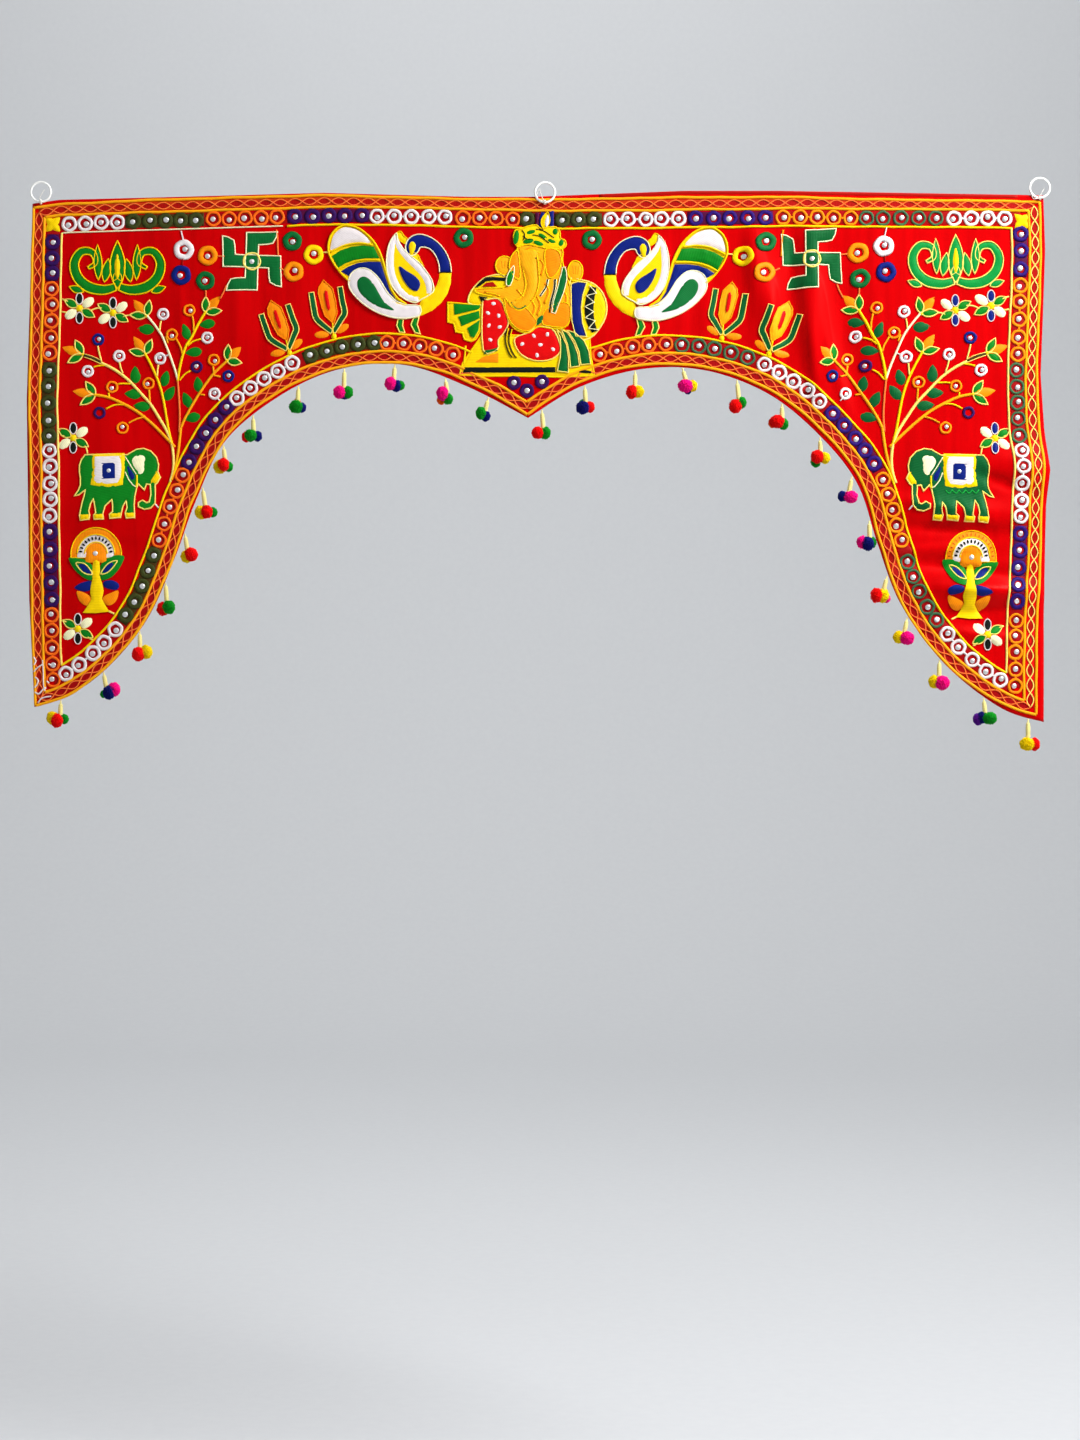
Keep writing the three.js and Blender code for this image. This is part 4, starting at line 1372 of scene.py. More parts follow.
# Tree: shade, width and path of its branches and of the twigs that hold its rings and leaves
BRANCHES = [
    (
        "amber", 3.0,
        [(95.4, 395), (107.3, 397), (119.7, 402), (134.6, 410), (147.1, 419.4), (159.5, 431), (174.8, 447)],
    ),
    (
        "pale", 3.0,
        [
            (101, 362.7), (113.5, 369), (127.2, 379), (139.6, 392), (149.6, 403.2), (158.3, 416.8),
            (167, 431.8), (172.4, 446),
        ],
    ),
    ("forest", 1.6, [(84, 355.4), (92, 358), (101, 362.4)]),
    ("pale", 1.0, [(84, 354), (93, 356.6), (102, 361)]),
    ("pale", 1.0, [(84, 357), (92, 359.8), (101, 364)]),
    (
        "yellow", 2.6,
        [
            (145.2, 354), (152, 367.1), (158.3, 382), (162.6, 397), (165.7, 414.4), (168.8, 431.8),
            (172.6, 446.7),
        ],
    ),
    (
        "cream", 2.4,
        [(146.4, 315), (154.5, 324.8), (162, 336), (168.2, 351), (174.4, 368.3), (177.5, 379.5)],
    ),
    ("salmon", 2.0, [(177.5, 379.5), (178.8, 397), (179.6, 415.6), (179, 432)]),
    ("amber", 2.8, [(180.6, 428), (178.8, 446), (177, 458), (174, 471), (171.5, 480)]),
    (
        "yellow", 2.8,
        [
            (205.5, 312.4), (198.1, 324.8), (191.8, 337.2), (186.2, 346), (181.9, 358.4), (178.8, 372),
            (177.6, 381),
        ],
    ),
    (
        "amber", 2.8,
        [(227.3, 361), (214.2, 373.3), (205.5, 384.5), (195.6, 399.4), (185.6, 416.8), (180.6, 428)],
    ),
    ("pale", 2.8, [(171.5, 443), (173.2, 456), (173, 470), (170, 482)]),
    ("pale", 1.8, [(159.5, 332.4), (160, 326), (161, 321)]),
    ("amber", 1.8, [(192.5, 316), (193.6, 323), (193.7, 331)]),
    ("amber", 1.8, [(176.3, 339), (180.6, 347), (182.4, 354)]),
    ("yellow", 1.8, [(201.2, 339), (193.1, 341.6), (187.6, 346)]),
    ("pale", 1.8, [(158, 364.8), (157.4, 370), (157, 376)]),
    ("pale", 1.8, [(119.3, 362), (120.4, 367), (122.6, 373)]),
    ("pale", 1.8, [(97.9, 346), (99, 352), (101.4, 361)]),
    ("yellow", 1.8, [(93.6, 367.2), (99, 365.8), (105.6, 365.2)]),
    ("yellow", 1.8, [(117.8, 384), (123, 383.4), (130.4, 383.8)]),
    ("yellow", 1.8, [(108.6, 393), (109.6, 398)]), ("amber", 2.0, [(148.8, 389.6), (149.6, 402)]),
    ("yellow", 1.8, [(190.6, 370.8), (184.6, 374.4), (179.4, 380.6)]),
    ("amber", 2.0, [(213.2, 366.4), (214, 373.6)]), ("amber", 1.8, [(220.6, 377), (213.4, 375.2)]),
    ("amber", 1.8, [(205, 395), (200, 394.4)]), ("white", 1.6, [(217.4, 398), (220, 401)]),
    ("yellow", 1.8, [(106, 409), (114.7, 405), (124, 404.4)]),
    ("amber", 1.8, [(128.4, 423), (137, 418.6), (144, 416.8)]),
    ("amber", 1.8, [(166, 336.6), (167.8, 343)]), ("white", 1.4, [(166, 356), (169.4, 354)]),
]
TREE_RINGS = [
    (163.2, 314.2, "white"), (189.4, 310.5, "orange"), (171.9, 334.8, "orange"), (207.4, 338, "white"),
    (160.1, 358.4, "white"), (119.1, 356, "white"), (98.3, 339.6, "navy"), (88, 371.4, "white"),
    (112.2, 387, "orange"), (148.3, 383.3, "orange"), (196.8, 367, "purple"), (213.9, 360.2, "orange"),
    (228.5, 376.4, "navy"), (214.6, 393.8, "white"), (99.8, 413, "purple"), (122.6, 428, "orange"),
]
# Buds of three: base, orange tip, and the two green tips
TRIOS = [
    ((95.4, 395.1), (73, 391.3), (86, 382), (80.5, 405)),
    ((83, 354.7), (62.5, 347.4), (75.5, 340.3), (68, 362.8)),
    ((145.2, 354), (133.4, 336.4), (151.4, 339.6), (129, 350.3)),
    ((146.4, 316), (133.4, 299.8), (149.6, 300.4), (129.6, 314.8)),
    ((205.5, 312.4), (220.4, 296.8), (206, 297.2), (221.8, 311)),
    ((227.3, 361), (241.4, 347.4), (228.6, 345.2), (241.8, 363.2)),
]
# Plain leaves: middle, turn, length and width
TREE_LEAVES = [
    (145.8, 329.2, 4, 17, 10.5), (185.9, 331.8, 72, 16.5, 9), (207.4, 324.2, -8, 16, 9.5),
    (193.7, 352.2, -6, 17, 9.6), (135.2, 374.6, 88, 17.5, 10.5), (165.1, 378.3, 105, 16.5, 9.4),
    (198.3, 384.5, 82, 16, 9.6), (132.8, 393.8, 2, 17, 10.4), (169.5, 393.2, 125, 17, 9.6),
    (186.9, 400, 66, 17, 9.6), (141.5, 406.2, 4, 17, 10), (192.5, 417.6, -14, 16, 10),
]


class ToranTrees(bpy.types.Operator):
    """Add the two flowering trees that grow from the arch"""
    bl_idname = "toran.trees"
    bl_label = "Trees"

    def execute(self, context):
        work = Stitchwork("trees")
        for work.turned in (False, True):
            for shade, wide, path in BRANCHES:
                work.cord(catmull(path, 6), shade, wide=wide, high=1.2 + 0.15 * wide)
            for right, down, shade in TREE_RINGS:
                thin = shade == "orange"
                work.ring(right, down, 12.4, 7.8 if thin else 6.6, shade, high=1.3)
                if (right, shade) != (99.8, "purple"):
                    spread = 1.3 if thin else 1.0
                    work.mirror(
                        right + work.random.uniform(-spread, spread),
                        down + work.random.uniform(-spread, spread), 0.76,
                    )
            for base, orange, first, second in TRIOS:
                work.fill(leaf(base, orange, 9.4), "orange", turn=45)
                for tip in (first, second):
                    work.shape(leaf(base, tip, 7.4), "green", edge="pale", turn=45, wide=1.5)
                work.fill(oval(*base, 1.8, count=12), "yellow", high=1.7)
            for right, down, turn, long, wide in TREE_LEAVES:
                c, s = math.cos(math.radians(turn)) * long / 2, math.sin(math.radians(turn)) * long / 2
                blade = leaf((right + c, down + s), (right - c, down - s), wide, 1.15)
                work.fill(blade, "bottle" if work.turned else "green", turn=turn + 60)
        work.make()
        return {"FINISHED"}


# The elephant that faces right
ELEPHANT = [
    (85.6, 455.2), (82.2, 459.4), (80, 465.6), (80, 472), (81, 478.8), (80.9, 485.6), (79, 490.6),
    (75.1, 496.2), (79.4, 495.2), (86, 490.2), (84.8, 496), (82.6, 503.6), (80.2, 515.9), (81, 520.6),
    (89.6, 519.4), (90.3, 515.6), (89.4, 511.2), (91, 504.2), (94, 499.2), (95.2, 505), (96.4, 513.2),
    (94.4, 515.2), (94.8, 519.6), (104, 519.2), (103.4, 513.8), (105.6, 506.2), (112.4, 499.8),
    (113.2, 505.8), (113.2, 511.8), (110, 514.6), (110.6, 518.6), (121, 517.6), (121.9, 512.4),
    (123.4, 506.2), (126.5, 501), (127.5, 507.6), (125.7, 513.2), (126.8, 518.3), (135, 517.6),
    (134.3, 505), (135, 496.6), (136.7, 488), (138.6, 484), (144.4, 490), (146.6, 484), (150.2, 484.6),
    (151, 494.6), (149.4, 502), (146.6, 502.8), (142.6, 500.4), (138.6, 502.8), (138.6, 506.8),
    (144.6, 509.4), (150.8, 508.2), (155, 503.4), (155.3, 494.6), (155, 484.4), (157.2, 483),
    (160.2, 477.4), (157.6, 471.8), (158.4, 464.9), (156.4, 457.4), (150.8, 451.2), (143.4, 448.4),
    (136.4, 449.4), (126.8, 455), (110, 454.2), (92, 455),
]
SADDLE = [
    (92.4, 454.2), (124.8, 453.2), (125.6, 460), (125.4, 467), (123.4, 485), (116, 486.8), (108.8, 487.4),
    (100, 486.8), (91.2, 485.2), (93, 470),
]
SADDLE_WHITE = [(95.6, 457), (121.6, 456.2), (121.8, 470), (120.4, 482.8), (108, 484.2), (95, 483)]
SADDLE_NAVY = [(102.4, 463.6), (115.6, 463), (115.8, 478.6), (102.6, 479.4)]
EAR = [
    (131.6, 459.6), (134.6, 455.8), (139.6, 454.2), (144, 455.2), (145.8, 457.6), (144.8, 463.5),
    (144.7, 470.4), (141.9, 474.8), (138.4, 474.6), (136, 470.2), (133, 465.8),
]
STRAP = [(126, 460.6), (135.6, 474.4), (135.6, 484.4), (130.6, 480), (126, 470)]
FACE = [
    (150.6, 462), (149.4, 466), (150.8, 469.8), (153.8, 473.8), (149.5, 480.6), (150.8, 484), (157, 484),
    (160.4, 477.3), (157.8, 472.4), (153.8, 468.6), (152, 464.6),
]
FEET = [
    [(80.4, 515), (90.2, 514.4), (89.6, 519.2), (81, 520.4)],
    [(94.6, 514.8), (103.8, 514), (104, 519), (94.8, 519.4)],
    [(110.2, 514), (121.8, 512.8), (121, 517.4), (110.6, 518.4)],
    [(126, 513), (134.8, 512.8), (135, 517.4), (126.8, 518.1)],
]


class ToranElephants(bpy.types.Operator):
    """Add the pair of saddled elephants"""
    bl_idname = "toran.elephants"
    bl_label = "Elephants"

    def execute(self, context):
        work = Stitchwork("elephants")
        for work.turned in (False, True):
            work.fill(ELEPHANT, "bottle" if work.turned else "green", turn=80)
            work.cord(ELEPHANT, "pale", wide=1.5, high=1.4, closed=True)
            for foot in FEET:
                work.fill(foot, "yellow", base=0.8)
            work.fill(SADDLE, "yellow", base=0.9)
            work.fill(SADDLE_WHITE, "white", turn=80, base=2.0, high=0.6)
            work.fill(SADDLE_NAVY, "navy", turn=90, base=2.7, high=0.5)
            work.mirror(109.6, 471, 0.8, high=3.4)
            work.fill(curved(EAR), "cream", turn=15, base=0.7)
            work.fill(STRAP, "navy", turn=40, base=0.6)
            work.cord([(125.6, 457), (131, 466), (136.6, 474.6)], "cream", wide=1.4, high=1.9)
            work.cord([(125.6, 472), (129, 480), (133.6, 485.6), (136.8, 487)], "cream", wide=1.4, high=1.9)
            work.cord([(137, 475), (137.2, 481), (136.6, 487.6)], "yellow", wide=2.2, high=2.0)
            work.fill(FACE, "yellow", turn=30, base=0.6)
            work.cord([(155.2, 504), (158.6, 508)], "white", wide=1.6)
            for step in range(5 if work.turned else 0):
                hem = [(90 + 6.6 * step, 489), (93.3 + 6.6 * step, 492.4), (96.6 + 6.6 * step, 489)]
                work.cord(catmull(hem, 4), "bright", wide=1.1, high=1.9)
        work.make()
        return {"FINISHED"}


# The lamp plant: right and down
LAMP_MIDDLE = (96.6, 554)
LAMP_VASE = [
    (95.2, 556.4), (97.8, 556.4), (100.2, 562), (100.9, 568), (101.2, 577.4), (103.3, 584), (104.8, 591.4),
    (103, 599), (107, 606.6), (110.4, 611.8), (97, 613.4), (84, 613.2), (88.8, 606), (92.6, 599.8),
    (91.4, 593), (91.9, 586.4), (93.6, 579), (93.2, 571), (93.9, 562.8),
]
LAMP_LEAVES = [
    [
        (69.6, 558.4), (78, 558.6), (86.2, 560), (91, 563.6), (94, 568), (93.4, 580.2), (86.1, 578.8),
        (79.6, 574.2), (73.7, 567.6),
    ],
    [
        (124.6, 556.4), (116.3, 555.4), (109, 557.8), (103.4, 562.8), (100.6, 568), (101, 580),
        (110.6, 578.4), (117.2, 572.6), (122.4, 564.4),
    ],
]
LAMP_EYES = [
    [(77, 563.4), (83.8, 563.4), (88.8, 566.8), (93.4, 574.4), (87, 574.2), (81, 570)],
    [(117.8, 561), (110.6, 562.8), (105.6, 567.6), (101.8, 574.4), (108.3, 573), (114, 567.6)],
]
LAMP_NAVY = [
    [(75.3, 587.8), (82, 583.2), (92, 581.4), (92, 589.4), (86.1, 591.8), (79.6, 590.4)],
    [(104.6, 582), (112.2, 580.4), (118.6, 583.2), (120, 586.9), (116.3, 590.3), (105.4, 587.6)],
]
LAMP_ORANGE = [
    [(78.2, 591.2), (87, 593.8), (92.4, 598.8), (88.4, 606), (82, 602.8), (78.6, 597.2)],
    [
        (119, 590.8), (112.2, 593), (105.6, 596.2), (103, 600.4), (108.6, 605.6), (114.7, 603.6),
        (118.4, 598),
    ],
]
HALO_DOTS = 13


class ToranLamps(bpy.types.Operator):
    """Add the lamp plants with their haloes"""
    bl_idname = "toran.lamp_plants"
    bl_label = "Lamp plants"

    def execute(self, context):
        work = Stitchwork("lamp_plants")
        right, down = LAMP_MIDDLE

        def arch(reach, lowest):
            turn = np.radians(np.linspace(180, 360, 25))
            bow = np.stack([right + reach * np.cos(turn), down + reach * 1.04 * np.sin(turn)], axis=1)
            return np.vstack([bow, [(right + reach, down + lowest), (right - reach, down + lowest)]])

        for work.turned in (False, True):
            work.fill(arch(25, 4), "orange", high=0.9)
            work.cord(arch(25, 4), "yellow", wide=1.2, high=1.3, closed=True)
            work.fill(arch(18.4, 4.4), "white", base=0.8, high=0.8)
            work.cord(arch(18.6, 4.4)[:-2], "yellow", wide=1.4, high=2.1)
            work.fill(arch(10.6, 9), "orange", base=1.4)
            work.cord(arch(11.2, 9)[:-2], "yellow", wide=1.8, high=2.6)
            for dot in range(HALO_DOTS):
                turn = math.radians(188 + 164 * dot / (HALO_DOTS - 1))
                spot = (right + 15.2 * math.cos(turn), down + 15.6 * math.sin(turn))
                work.patch(oval(*spot, 1.0, 1.9, math.degrees(turn) + 90, 10), "black", 2.2)
            for tick in range(17 if work.turned else 0):
                turn = math.radians(184 + 172 * tick / 16)
                spot = (right + 21.8 * math.cos(turn), down + 22.4 * math.sin(turn))
                work.patch(oval(*spot, 1.5, 0.35, math.degrees(turn), 8), "maroon", 1.35)
            for outline, shade, base in (
                *((o, "green", 0.9) for o in LAMP_LEAVES), *((o, "navy", 0.3) for o in LAMP_NAVY),
                *((o, "orange", 0.3) for o in LAMP_ORANGE),
            ):
                work.fill(curved(outline), shade, turn=30, base=base)
            for eye in LAMP_EYES:
                work.shape(curved(eye), "navy", edge="pale", wide=1.3, base=1.6, high=0.9)
            work.fill(LAMP_VASE, "yellow", turn=90, base=1.3)
            work.mirror(right - 0.4, down - 0.4, 0.9, high=3.2)
            work.cord([(109, 611.2), (115, 614)], "pale", wide=2)
        work.make()
        return {"FINISHED"}


# The seated figure with an elephant's head in the middle, with its bolsters, cloths and seat
SEAT = [
    (482, 336), (472, 350), (462.4, 364.4), (459.6, 375.2), (484, 376.4), (520, 376.4), (560, 377.4),
    (594.4, 376), (590.6, 356), (589.4, 338), (560, 330), (520, 336),
]
BOLSTER_LEFT = [(469, 304), (470, 294), (477, 284.6), (488, 277), (506, 277.4), (506, 306), (484, 306)]
BOLSTER_LEFT_BLACK = [
    (475.8, 287), (480, 282.4), (485.6, 277.8), (494, 277.6), (506, 278.4), (505.4, 281.6), (494, 281),
    (487, 281.6), (481, 286), (477.6, 288),
]
BOLSTER_RIGHT = [
    (570, 282), (580, 280.4), (592, 283.6), (601, 291.4), (606, 303), (606, 315), (600.6, 327),
    (590, 338.6), (576, 336),
]
BOLSTER_NAVY = [
    (571, 284.6), (578, 282.4), (586.6, 283.4), (582.6, 296), (581, 309), (582.4, 324), (586.6, 337.4),
    (575.6, 337), (571.8, 322), (570.8, 300),
]
BOLSTER_BAND = [(593.6, 287.6), (590.4, 298), (589, 310), (590.4, 322), (594.6, 332.4)]
FAN_SCALLOPS = [
    (448, 303), (456, 303.6), (481, 306), (481.6, 330), (475.6, 340), (471, 342), (464.6, 340),
    (462.6, 333.6), (456, 332.4), (454, 324), (448, 322.6),
]
FAN_FOLDS = [
    [(453.8, 304.7), (480.6, 306), (479, 309.8), (454.6, 315.6)],
    [(458.2, 317.5), (479.2, 311.6), (479.8, 319), (461.8, 327)],
    [(467.3, 329), (479.8, 320.8), (478.6, 331), (474.2, 338.6), (470.6, 337.4)],
]
LEFT_CLOTH = [
    (482.6, 303.4), (487.4, 300.6), (497.6, 299.4), (503.6, 306), (507.2, 316), (508.2, 325), (503.6, 334),
    (498.2, 340.8), (497.6, 349.8), (483.4, 351),
]
LAP_CLOTH = [
    (514.8, 339), (527, 334), (538.2, 327.8), (551.6, 329.4), (558.4, 340.8), (560.2, 352), (551.8, 359.6),
    (538.4, 361.6), (525, 357.8), (517, 349.6),
]
CLOTH_DOTS = [
    (493.6, 304.4), (488, 313.8), (498.8, 316.6), (489, 326.4), (499.8, 327.8), (490.4, 340.6),
    (533.8, 336.6), (547.4, 335.2), (522.2, 344.8), (540.4, 345.6), (553, 350), (537, 356),
]
PLEATS = [
    [
        (556.6, 330.4), (560, 338), (560.6, 346), (560.2, 358), (557.2, 371.6), (568.2, 373), (568.4, 359),
        (566.4, 346), (561, 334),
    ],
    [
        (561.4, 330.4), (567.4, 345), (569.4, 356.3), (570.4, 368), (579.4, 366.6), (577.6, 354.8),
        (573.8, 344), (567, 333),
    ],
    [
        (567, 331), (574.4, 341.6), (578.8, 352), (580.8, 365.4), (590.4, 364.4), (588.6, 352),
        (584, 341.6), (575, 333.6),
    ],
]
BELLY = [
    [
        (504.9, 298.4), (511, 306), (525, 308), (535, 320), (536.4, 324.7), (529, 331.6), (519.6, 330.4),
        (511.4, 323.6), (506, 311),
    ],
    [(545, 311), (559.4, 303.6), (569.4, 306), (569.6, 320.4), (565, 328), (549.3, 327), (542.2, 323.6)],
]
BODY = [
    (518.4, 247), (515.6, 258), (514.6, 269), (509, 280), (503, 288), (477, 289.4), (478, 294),
    (500, 299.6), (504.8, 311), (510.6, 325), (519, 331.6), (529.2, 333.6), (538, 327.6), (551.6, 329.4),
    (563, 329), (569, 322), (571, 306), (570.4, 289), (566, 276), (562.4, 262), (562.2, 250), (552, 246.4),
    (541, 247.6), (529, 245),
]
EAR_LEFT = [(518, 252), (511.4, 257), (509.4, 267), (513.4, 276), (519.8, 279)]
EAR_RIGHT = [(545, 251), (556, 250.4), (561, 258), (559, 270), (552, 278.4), (546.6, 274)]
CROWN = [
    (517.6, 247.4), (513.6, 238.4), (515.4, 230.6), (521, 229.6), (526.6, 227), (536, 225.4), (541, 229),
    (549, 227.4), (556, 227.6), (559.8, 232), (560.4, 238.6), (565, 241), (565.6, 246.6), (560, 249.8),
    (552, 249.2), (545, 248.6), (534, 245), (525, 245.2),
]
CROWN_GEMS = [
    ((516.2, 238), 2.8, 7.2, 8), ((528.4, 241.6), 5.4, 2.4, -10), ((538.4, 243.8), 5.2, 2.2, 22),
    ((531, 232.6), 4.6, 2.0, -14), ((542.6, 236.6), 4.8, 1.8, 30), ((551.6, 241.6), 4.2, 1.8, 20),
    ((555.2, 232.2), 2.6, 3.2, 0), ((561, 243.6), 2.4, 3.4, 20),
]
FIGURE_LINES = [
    [(522, 252), (530, 249), (538, 252.4)], [(521, 266), (524, 262), (529, 263.6)],
    [(540, 260), (543.6, 266), (541, 276)], [(517, 290), (523, 297), (530, 300)],
    [(536, 296), (540, 305), (537, 316)], [(531, 300), (534.6, 308), (532, 316)],
    [(545, 284), (548.4, 292), (544, 304)], [(562, 290), (566, 296), (565.6, 304)],
    [(485, 292.6), (492, 293.4), (499, 296)], [(551, 258), (553.4, 264), (551, 270)],
    [(514.6, 262), (513.4, 268), (515.6, 273)],
]
HANDS = [((504.4, 266), 8.8, 9.4), ((575.2, 271.6), 7.4, 10.4)]
HAND_CLOTH = [(506.4, 285), (507.4, 276), (513.6, 266.6), (513.8, 275), (510.4, 286)]
SEAT_STRIPES = [
    ("black", [(464.4, 367.8), (555.4, 367.6), (555.4, 373), (463, 373.4)]),
    ("orange", [(474.6, 363), (484, 357), (498.4, 353.6), (498.4, 363.2)]),
    ("black", [(577, 371.8), (584, 370.2), (591.4, 371.6), (591, 374), (580, 373.4)]),
]
BOLSTER_PATCH = [(478.6, 296.6), (488, 298.4), (482, 303.4)]
BOLSTER_PLUG = [(482, 287.4), (486, 283.6), (493, 282.6), (497.4, 287.4)]
SASH_LINES = [
    [(507, 329), (505, 340), (508, 352), (512, 358)],
    [(510.6, 330), (508.4, 341), (511.6, 352), (516, 358.4)],
]
SASH_END = [(483.6, 351.4), (497.8, 348.4), (497.6, 351.6), (484.4, 355)]
TRUNK = [(529, 250), (528, 262), (531, 274), (532, 287), (527, 299), (518, 306.6), (510.6, 303)]
TRUNK_WIDTHS = [19, 17, 12, 10, 8.4, 7, 5]
TRUNK_LINES = [
    [(521, 258), (523.6, 272), (525.6, 286), (522, 297), (515.6, 301)],
    [(537, 256), (538.6, 270), (538.6, 286), (533.6, 300), (524, 309.6), (512.6, 308.4), (508.6, 302)],
]
EYES = [(524.4, 259.4), (534.6, 258.8)]
SMILE = np.array([(511.6, 303), (515, 308.4), (520.4, 309.8), (526, 306.6)])
STOLE = [(563.8, 268), (563.6, 277), (560.8, 290), (556.4, 303), (553.4, 314)]
STOLE_LINES = [
    ([(555.2, 280), (554.4, 290), (551, 303), (549.4, 313.6)], 1.5),
    ([(547.8, 280), (546, 288), (540, 297)], 1.0),
]
CROWN_LINES = [
    [(536, 229.6), (544, 231.6), (554, 238.4)], [(532.6, 235.4), (540, 237), (549, 243.6)],
    [(523, 236.4), (527, 239.6), (533, 240)], [(522, 230.6), (524.6, 235), (523.4, 240.6)],
]
PLUMES = [
    ("navy", 1.5, [(549.2, 212.6), (553.8, 210.6), (553.8, 227.8), (549.6, 228.4)]),
    ("navy", 1.5, [(541.6, 212.4), (545, 213), (541.4, 227), (538.6, 227.6), (539.6, 217)]),
    ("plum", 1.4, [(535.4, 213), (539.4, 213), (538, 227), (536, 227)]),
]


class ToranFigure(bpy.types.Operator):
    """Add the seated figure in the middle, with its bolsters, cloths and seat"""
    bl_idname = "toran.seated_figure"
    bl_label = "Seated figure"

    def execute(self, context):
        work = Stitchwork("seated_figure")
        work.fill(SEAT, "yellow", turn=90, high=0.9)
        work.cord(SEAT, "yellow", wide=1.8, closed=True)
        for shade, stripe in SEAT_STRIPES:
            work.fill(stripe, shade, turn=90, base=1.0, high=0.7)
        work.shape(curved(BOLSTER_LEFT), "yellow", edge="pale", turn=20)
        work.fill(BOLSTER_LEFT_BLACK, "black", base=1.7, high=0.8, pitch=1.8)
        work.fill(BOLSTER_PATCH, "black", base=1.7, high=0.8)
        work.patch(BOLSTER_PLUG, "brick", 2.1)
        work.shape(curved(BOLSTER_RIGHT), "yellow", edge="pale", turn=20)
        work.shape(BOLSTER_NAVY, "navy", edge="pale", turn=10, base=1.5, high=0.9, wide=1.2)
        work.fill(band(BOLSTER_BAND, [6, 8.4, 9, 8.4, 6]), "black", turn=80, base=1.5, high=0.8)
        line = spaced(catmull(BOLSTER_BAND, 6), count=10)
        zigzag = line + normals(line) * (4.4 * (-1) ** np.arange(10))[:, None]
        work.cord(zigzag, "cream", wide=1.3, high=2.9)
        work.shape(FAN_SCALLOPS, "yellow", edge="yellow", turn=80)
        for fold in FAN_FOLDS:
            work.fill(fold, "green", turn=70, base=1.6, high=0.8)
        for pleat in PLEATS:
            work.shape(pleat, "emerald", edge="pale", turn=70, base=1.2, wide=1.2)
        work.fill(curved(BODY), "amber", turn=75, base=0.5, high=1.5)
        work.cord(curved(BODY), "yellow", wide=1.7, high=2.5, closed=True)
        for part in BELLY:
            work.shape(curved(part), "orange", edge="yellow", turn=75, base=1.8, high=0.8, wide=1.0)
        for cloth in (LEFT_CLOTH, LAP_CLOTH):
            work.shape(curved(cloth), "scarlet", edge="pale", turn=60, base=0.8, wide=1.5)
        for dot, spot in enumerate(CLOTH_DOTS):
            work.fill(oval(*spot, 2.6, 2.0, 40 * dot, 12), "white", base=1.6, high=0.8)
        for line in SASH_LINES:
            work.cord(catmull(line, 4), "black", wide=1.1, high=2.2)
            work.cord(catmull(np.array(line) + [1.5, 0], 4), "yellow", wide=1.3, high=2.2)
        work.fill(SASH_END, "emerald", base=1.6, high=0.8)
        for ear in (EAR_LEFT, EAR_RIGHT):
            work.shape(curved(ear), "orange", edge="yellow", turn=100, base=1.9, high=0.8, wide=1.3)
        work.fill(band(TRUNK, TRUNK_WIDTHS), "amber", turn=15, base=1.8, high=1.6)
        for line in TRUNK_LINES:
            work.cord(catmull(line, 4), "yellow", wide=1.3, high=3.2)
        for spot in EYES:
            work.fill(oval(*spot, 2.0, 1.2, 0, 12), "black", base=2.6, high=0.7)
        for spot, wide, high in HANDS:
            work.shape(oval(*spot, wide, high), "amber", edge="yellow", base=0.4, turn=70, wide=1.5)
            for step in (-0.3, 0.1, 0.5):
                knuckle = (spot[0] + step * wide, spot[1] - high * 0.5)
                tip = (spot[0] + step * wide * 0.7, spot[1] + high * 0.3)
                work.cord([knuckle, tip], "orange", wide=0.9, high=1.9)
        work.shape(curved(HAND_CLOTH), "green", edge="cream", base=2.0, wide=1.1)
        stole = band(STOLE, [3, 7, 7, 6, 4])
        work.shape(stole, "emerald", edge="cream", turn=70, base=2.2, high=0.9, wide=1.0)
        for line, wide in STOLE_LINES:
            work.cord(catmull(line, 4), "cream", wide=wide + 2, high=0.5, base=1.9)
            work.cord(catmull(line, 4), "black", wide=wide + 0.3, high=0.5, base=2.45)
        work.cord(catmull(SMILE + [0, 1.5], 4), "yellow", wide=1.4, high=0.7, base=2.2)
        work.cord(catmull(SMILE, 4), "emerald", wide=1.7, high=0.9, base=2.2)
        work.fill(leaf((536.6, 326.4), (543.4, 315.4), 5), "emerald", base=2.6, high=0.7)
        for line in FIGURE_LINES:
            work.cord(catmull(line, 4), "orange", wide=2.4, high=0.5, base=2.0)
            work.cord(catmull(np.array(line) + [1.1, 0.9], 4), "yellow", wide=1.1, high=0.7, base=2.0)
        work.shape(curved(CROWN), "yellow", edge="yellow", base=1.2, turn=80, wide=1.5)
        for spot, wide, high, turn in CROWN_GEMS:
            work.fill(oval(*spot, wide, high, turn, 16), "green", base=2.4, high=0.6, pitch=1.6)
        for line in CROWN_LINES:
            work.cord(catmull(line, 4), "black", wide=1.4, high=3.2)
        for shade, base, plume in PLUMES:
            work.fill(plume, shade, turn=80, base=base, high=0.8)
        plume = leaf((543.6, 229.4), (547.6, 212.4), 8.6)
        work.shape(plume, "yellow", edge="yellow", turn=80, base=1.9, wide=1.0)
        work.fill(leaf((546.2, 228), (548, 215.4), 4), "white", turn=80, base=3.0, high=0.6)
        work.make()
        return {"FINISHED"}


class ToranStars(bpy.types.Operator):
    """Add the yellow stars where the ring bands meet in the upper corners"""
    bl_idname = "toran.corner_stars"
    bl_label = "Corner stars"

    def execute(self, context):
        work = Stitchwork("corner_stars")
        for middle in ((53, 224.5), (1022, 221.5)):
            outline = []
            for step in range(8):
                turn = math.radians(45 * step + 45)
                reach = 10.8 if step % 2 == 0 else 6.0
                outline.append((middle[0] + reach * math.cos(turn), middle[1] + reach * math.sin(turn)))
            work.fill(outline, "yellow", turn=45, high=1.5)
        work.make()
        return {"FINISHED"}


# Rings, ties and pendants

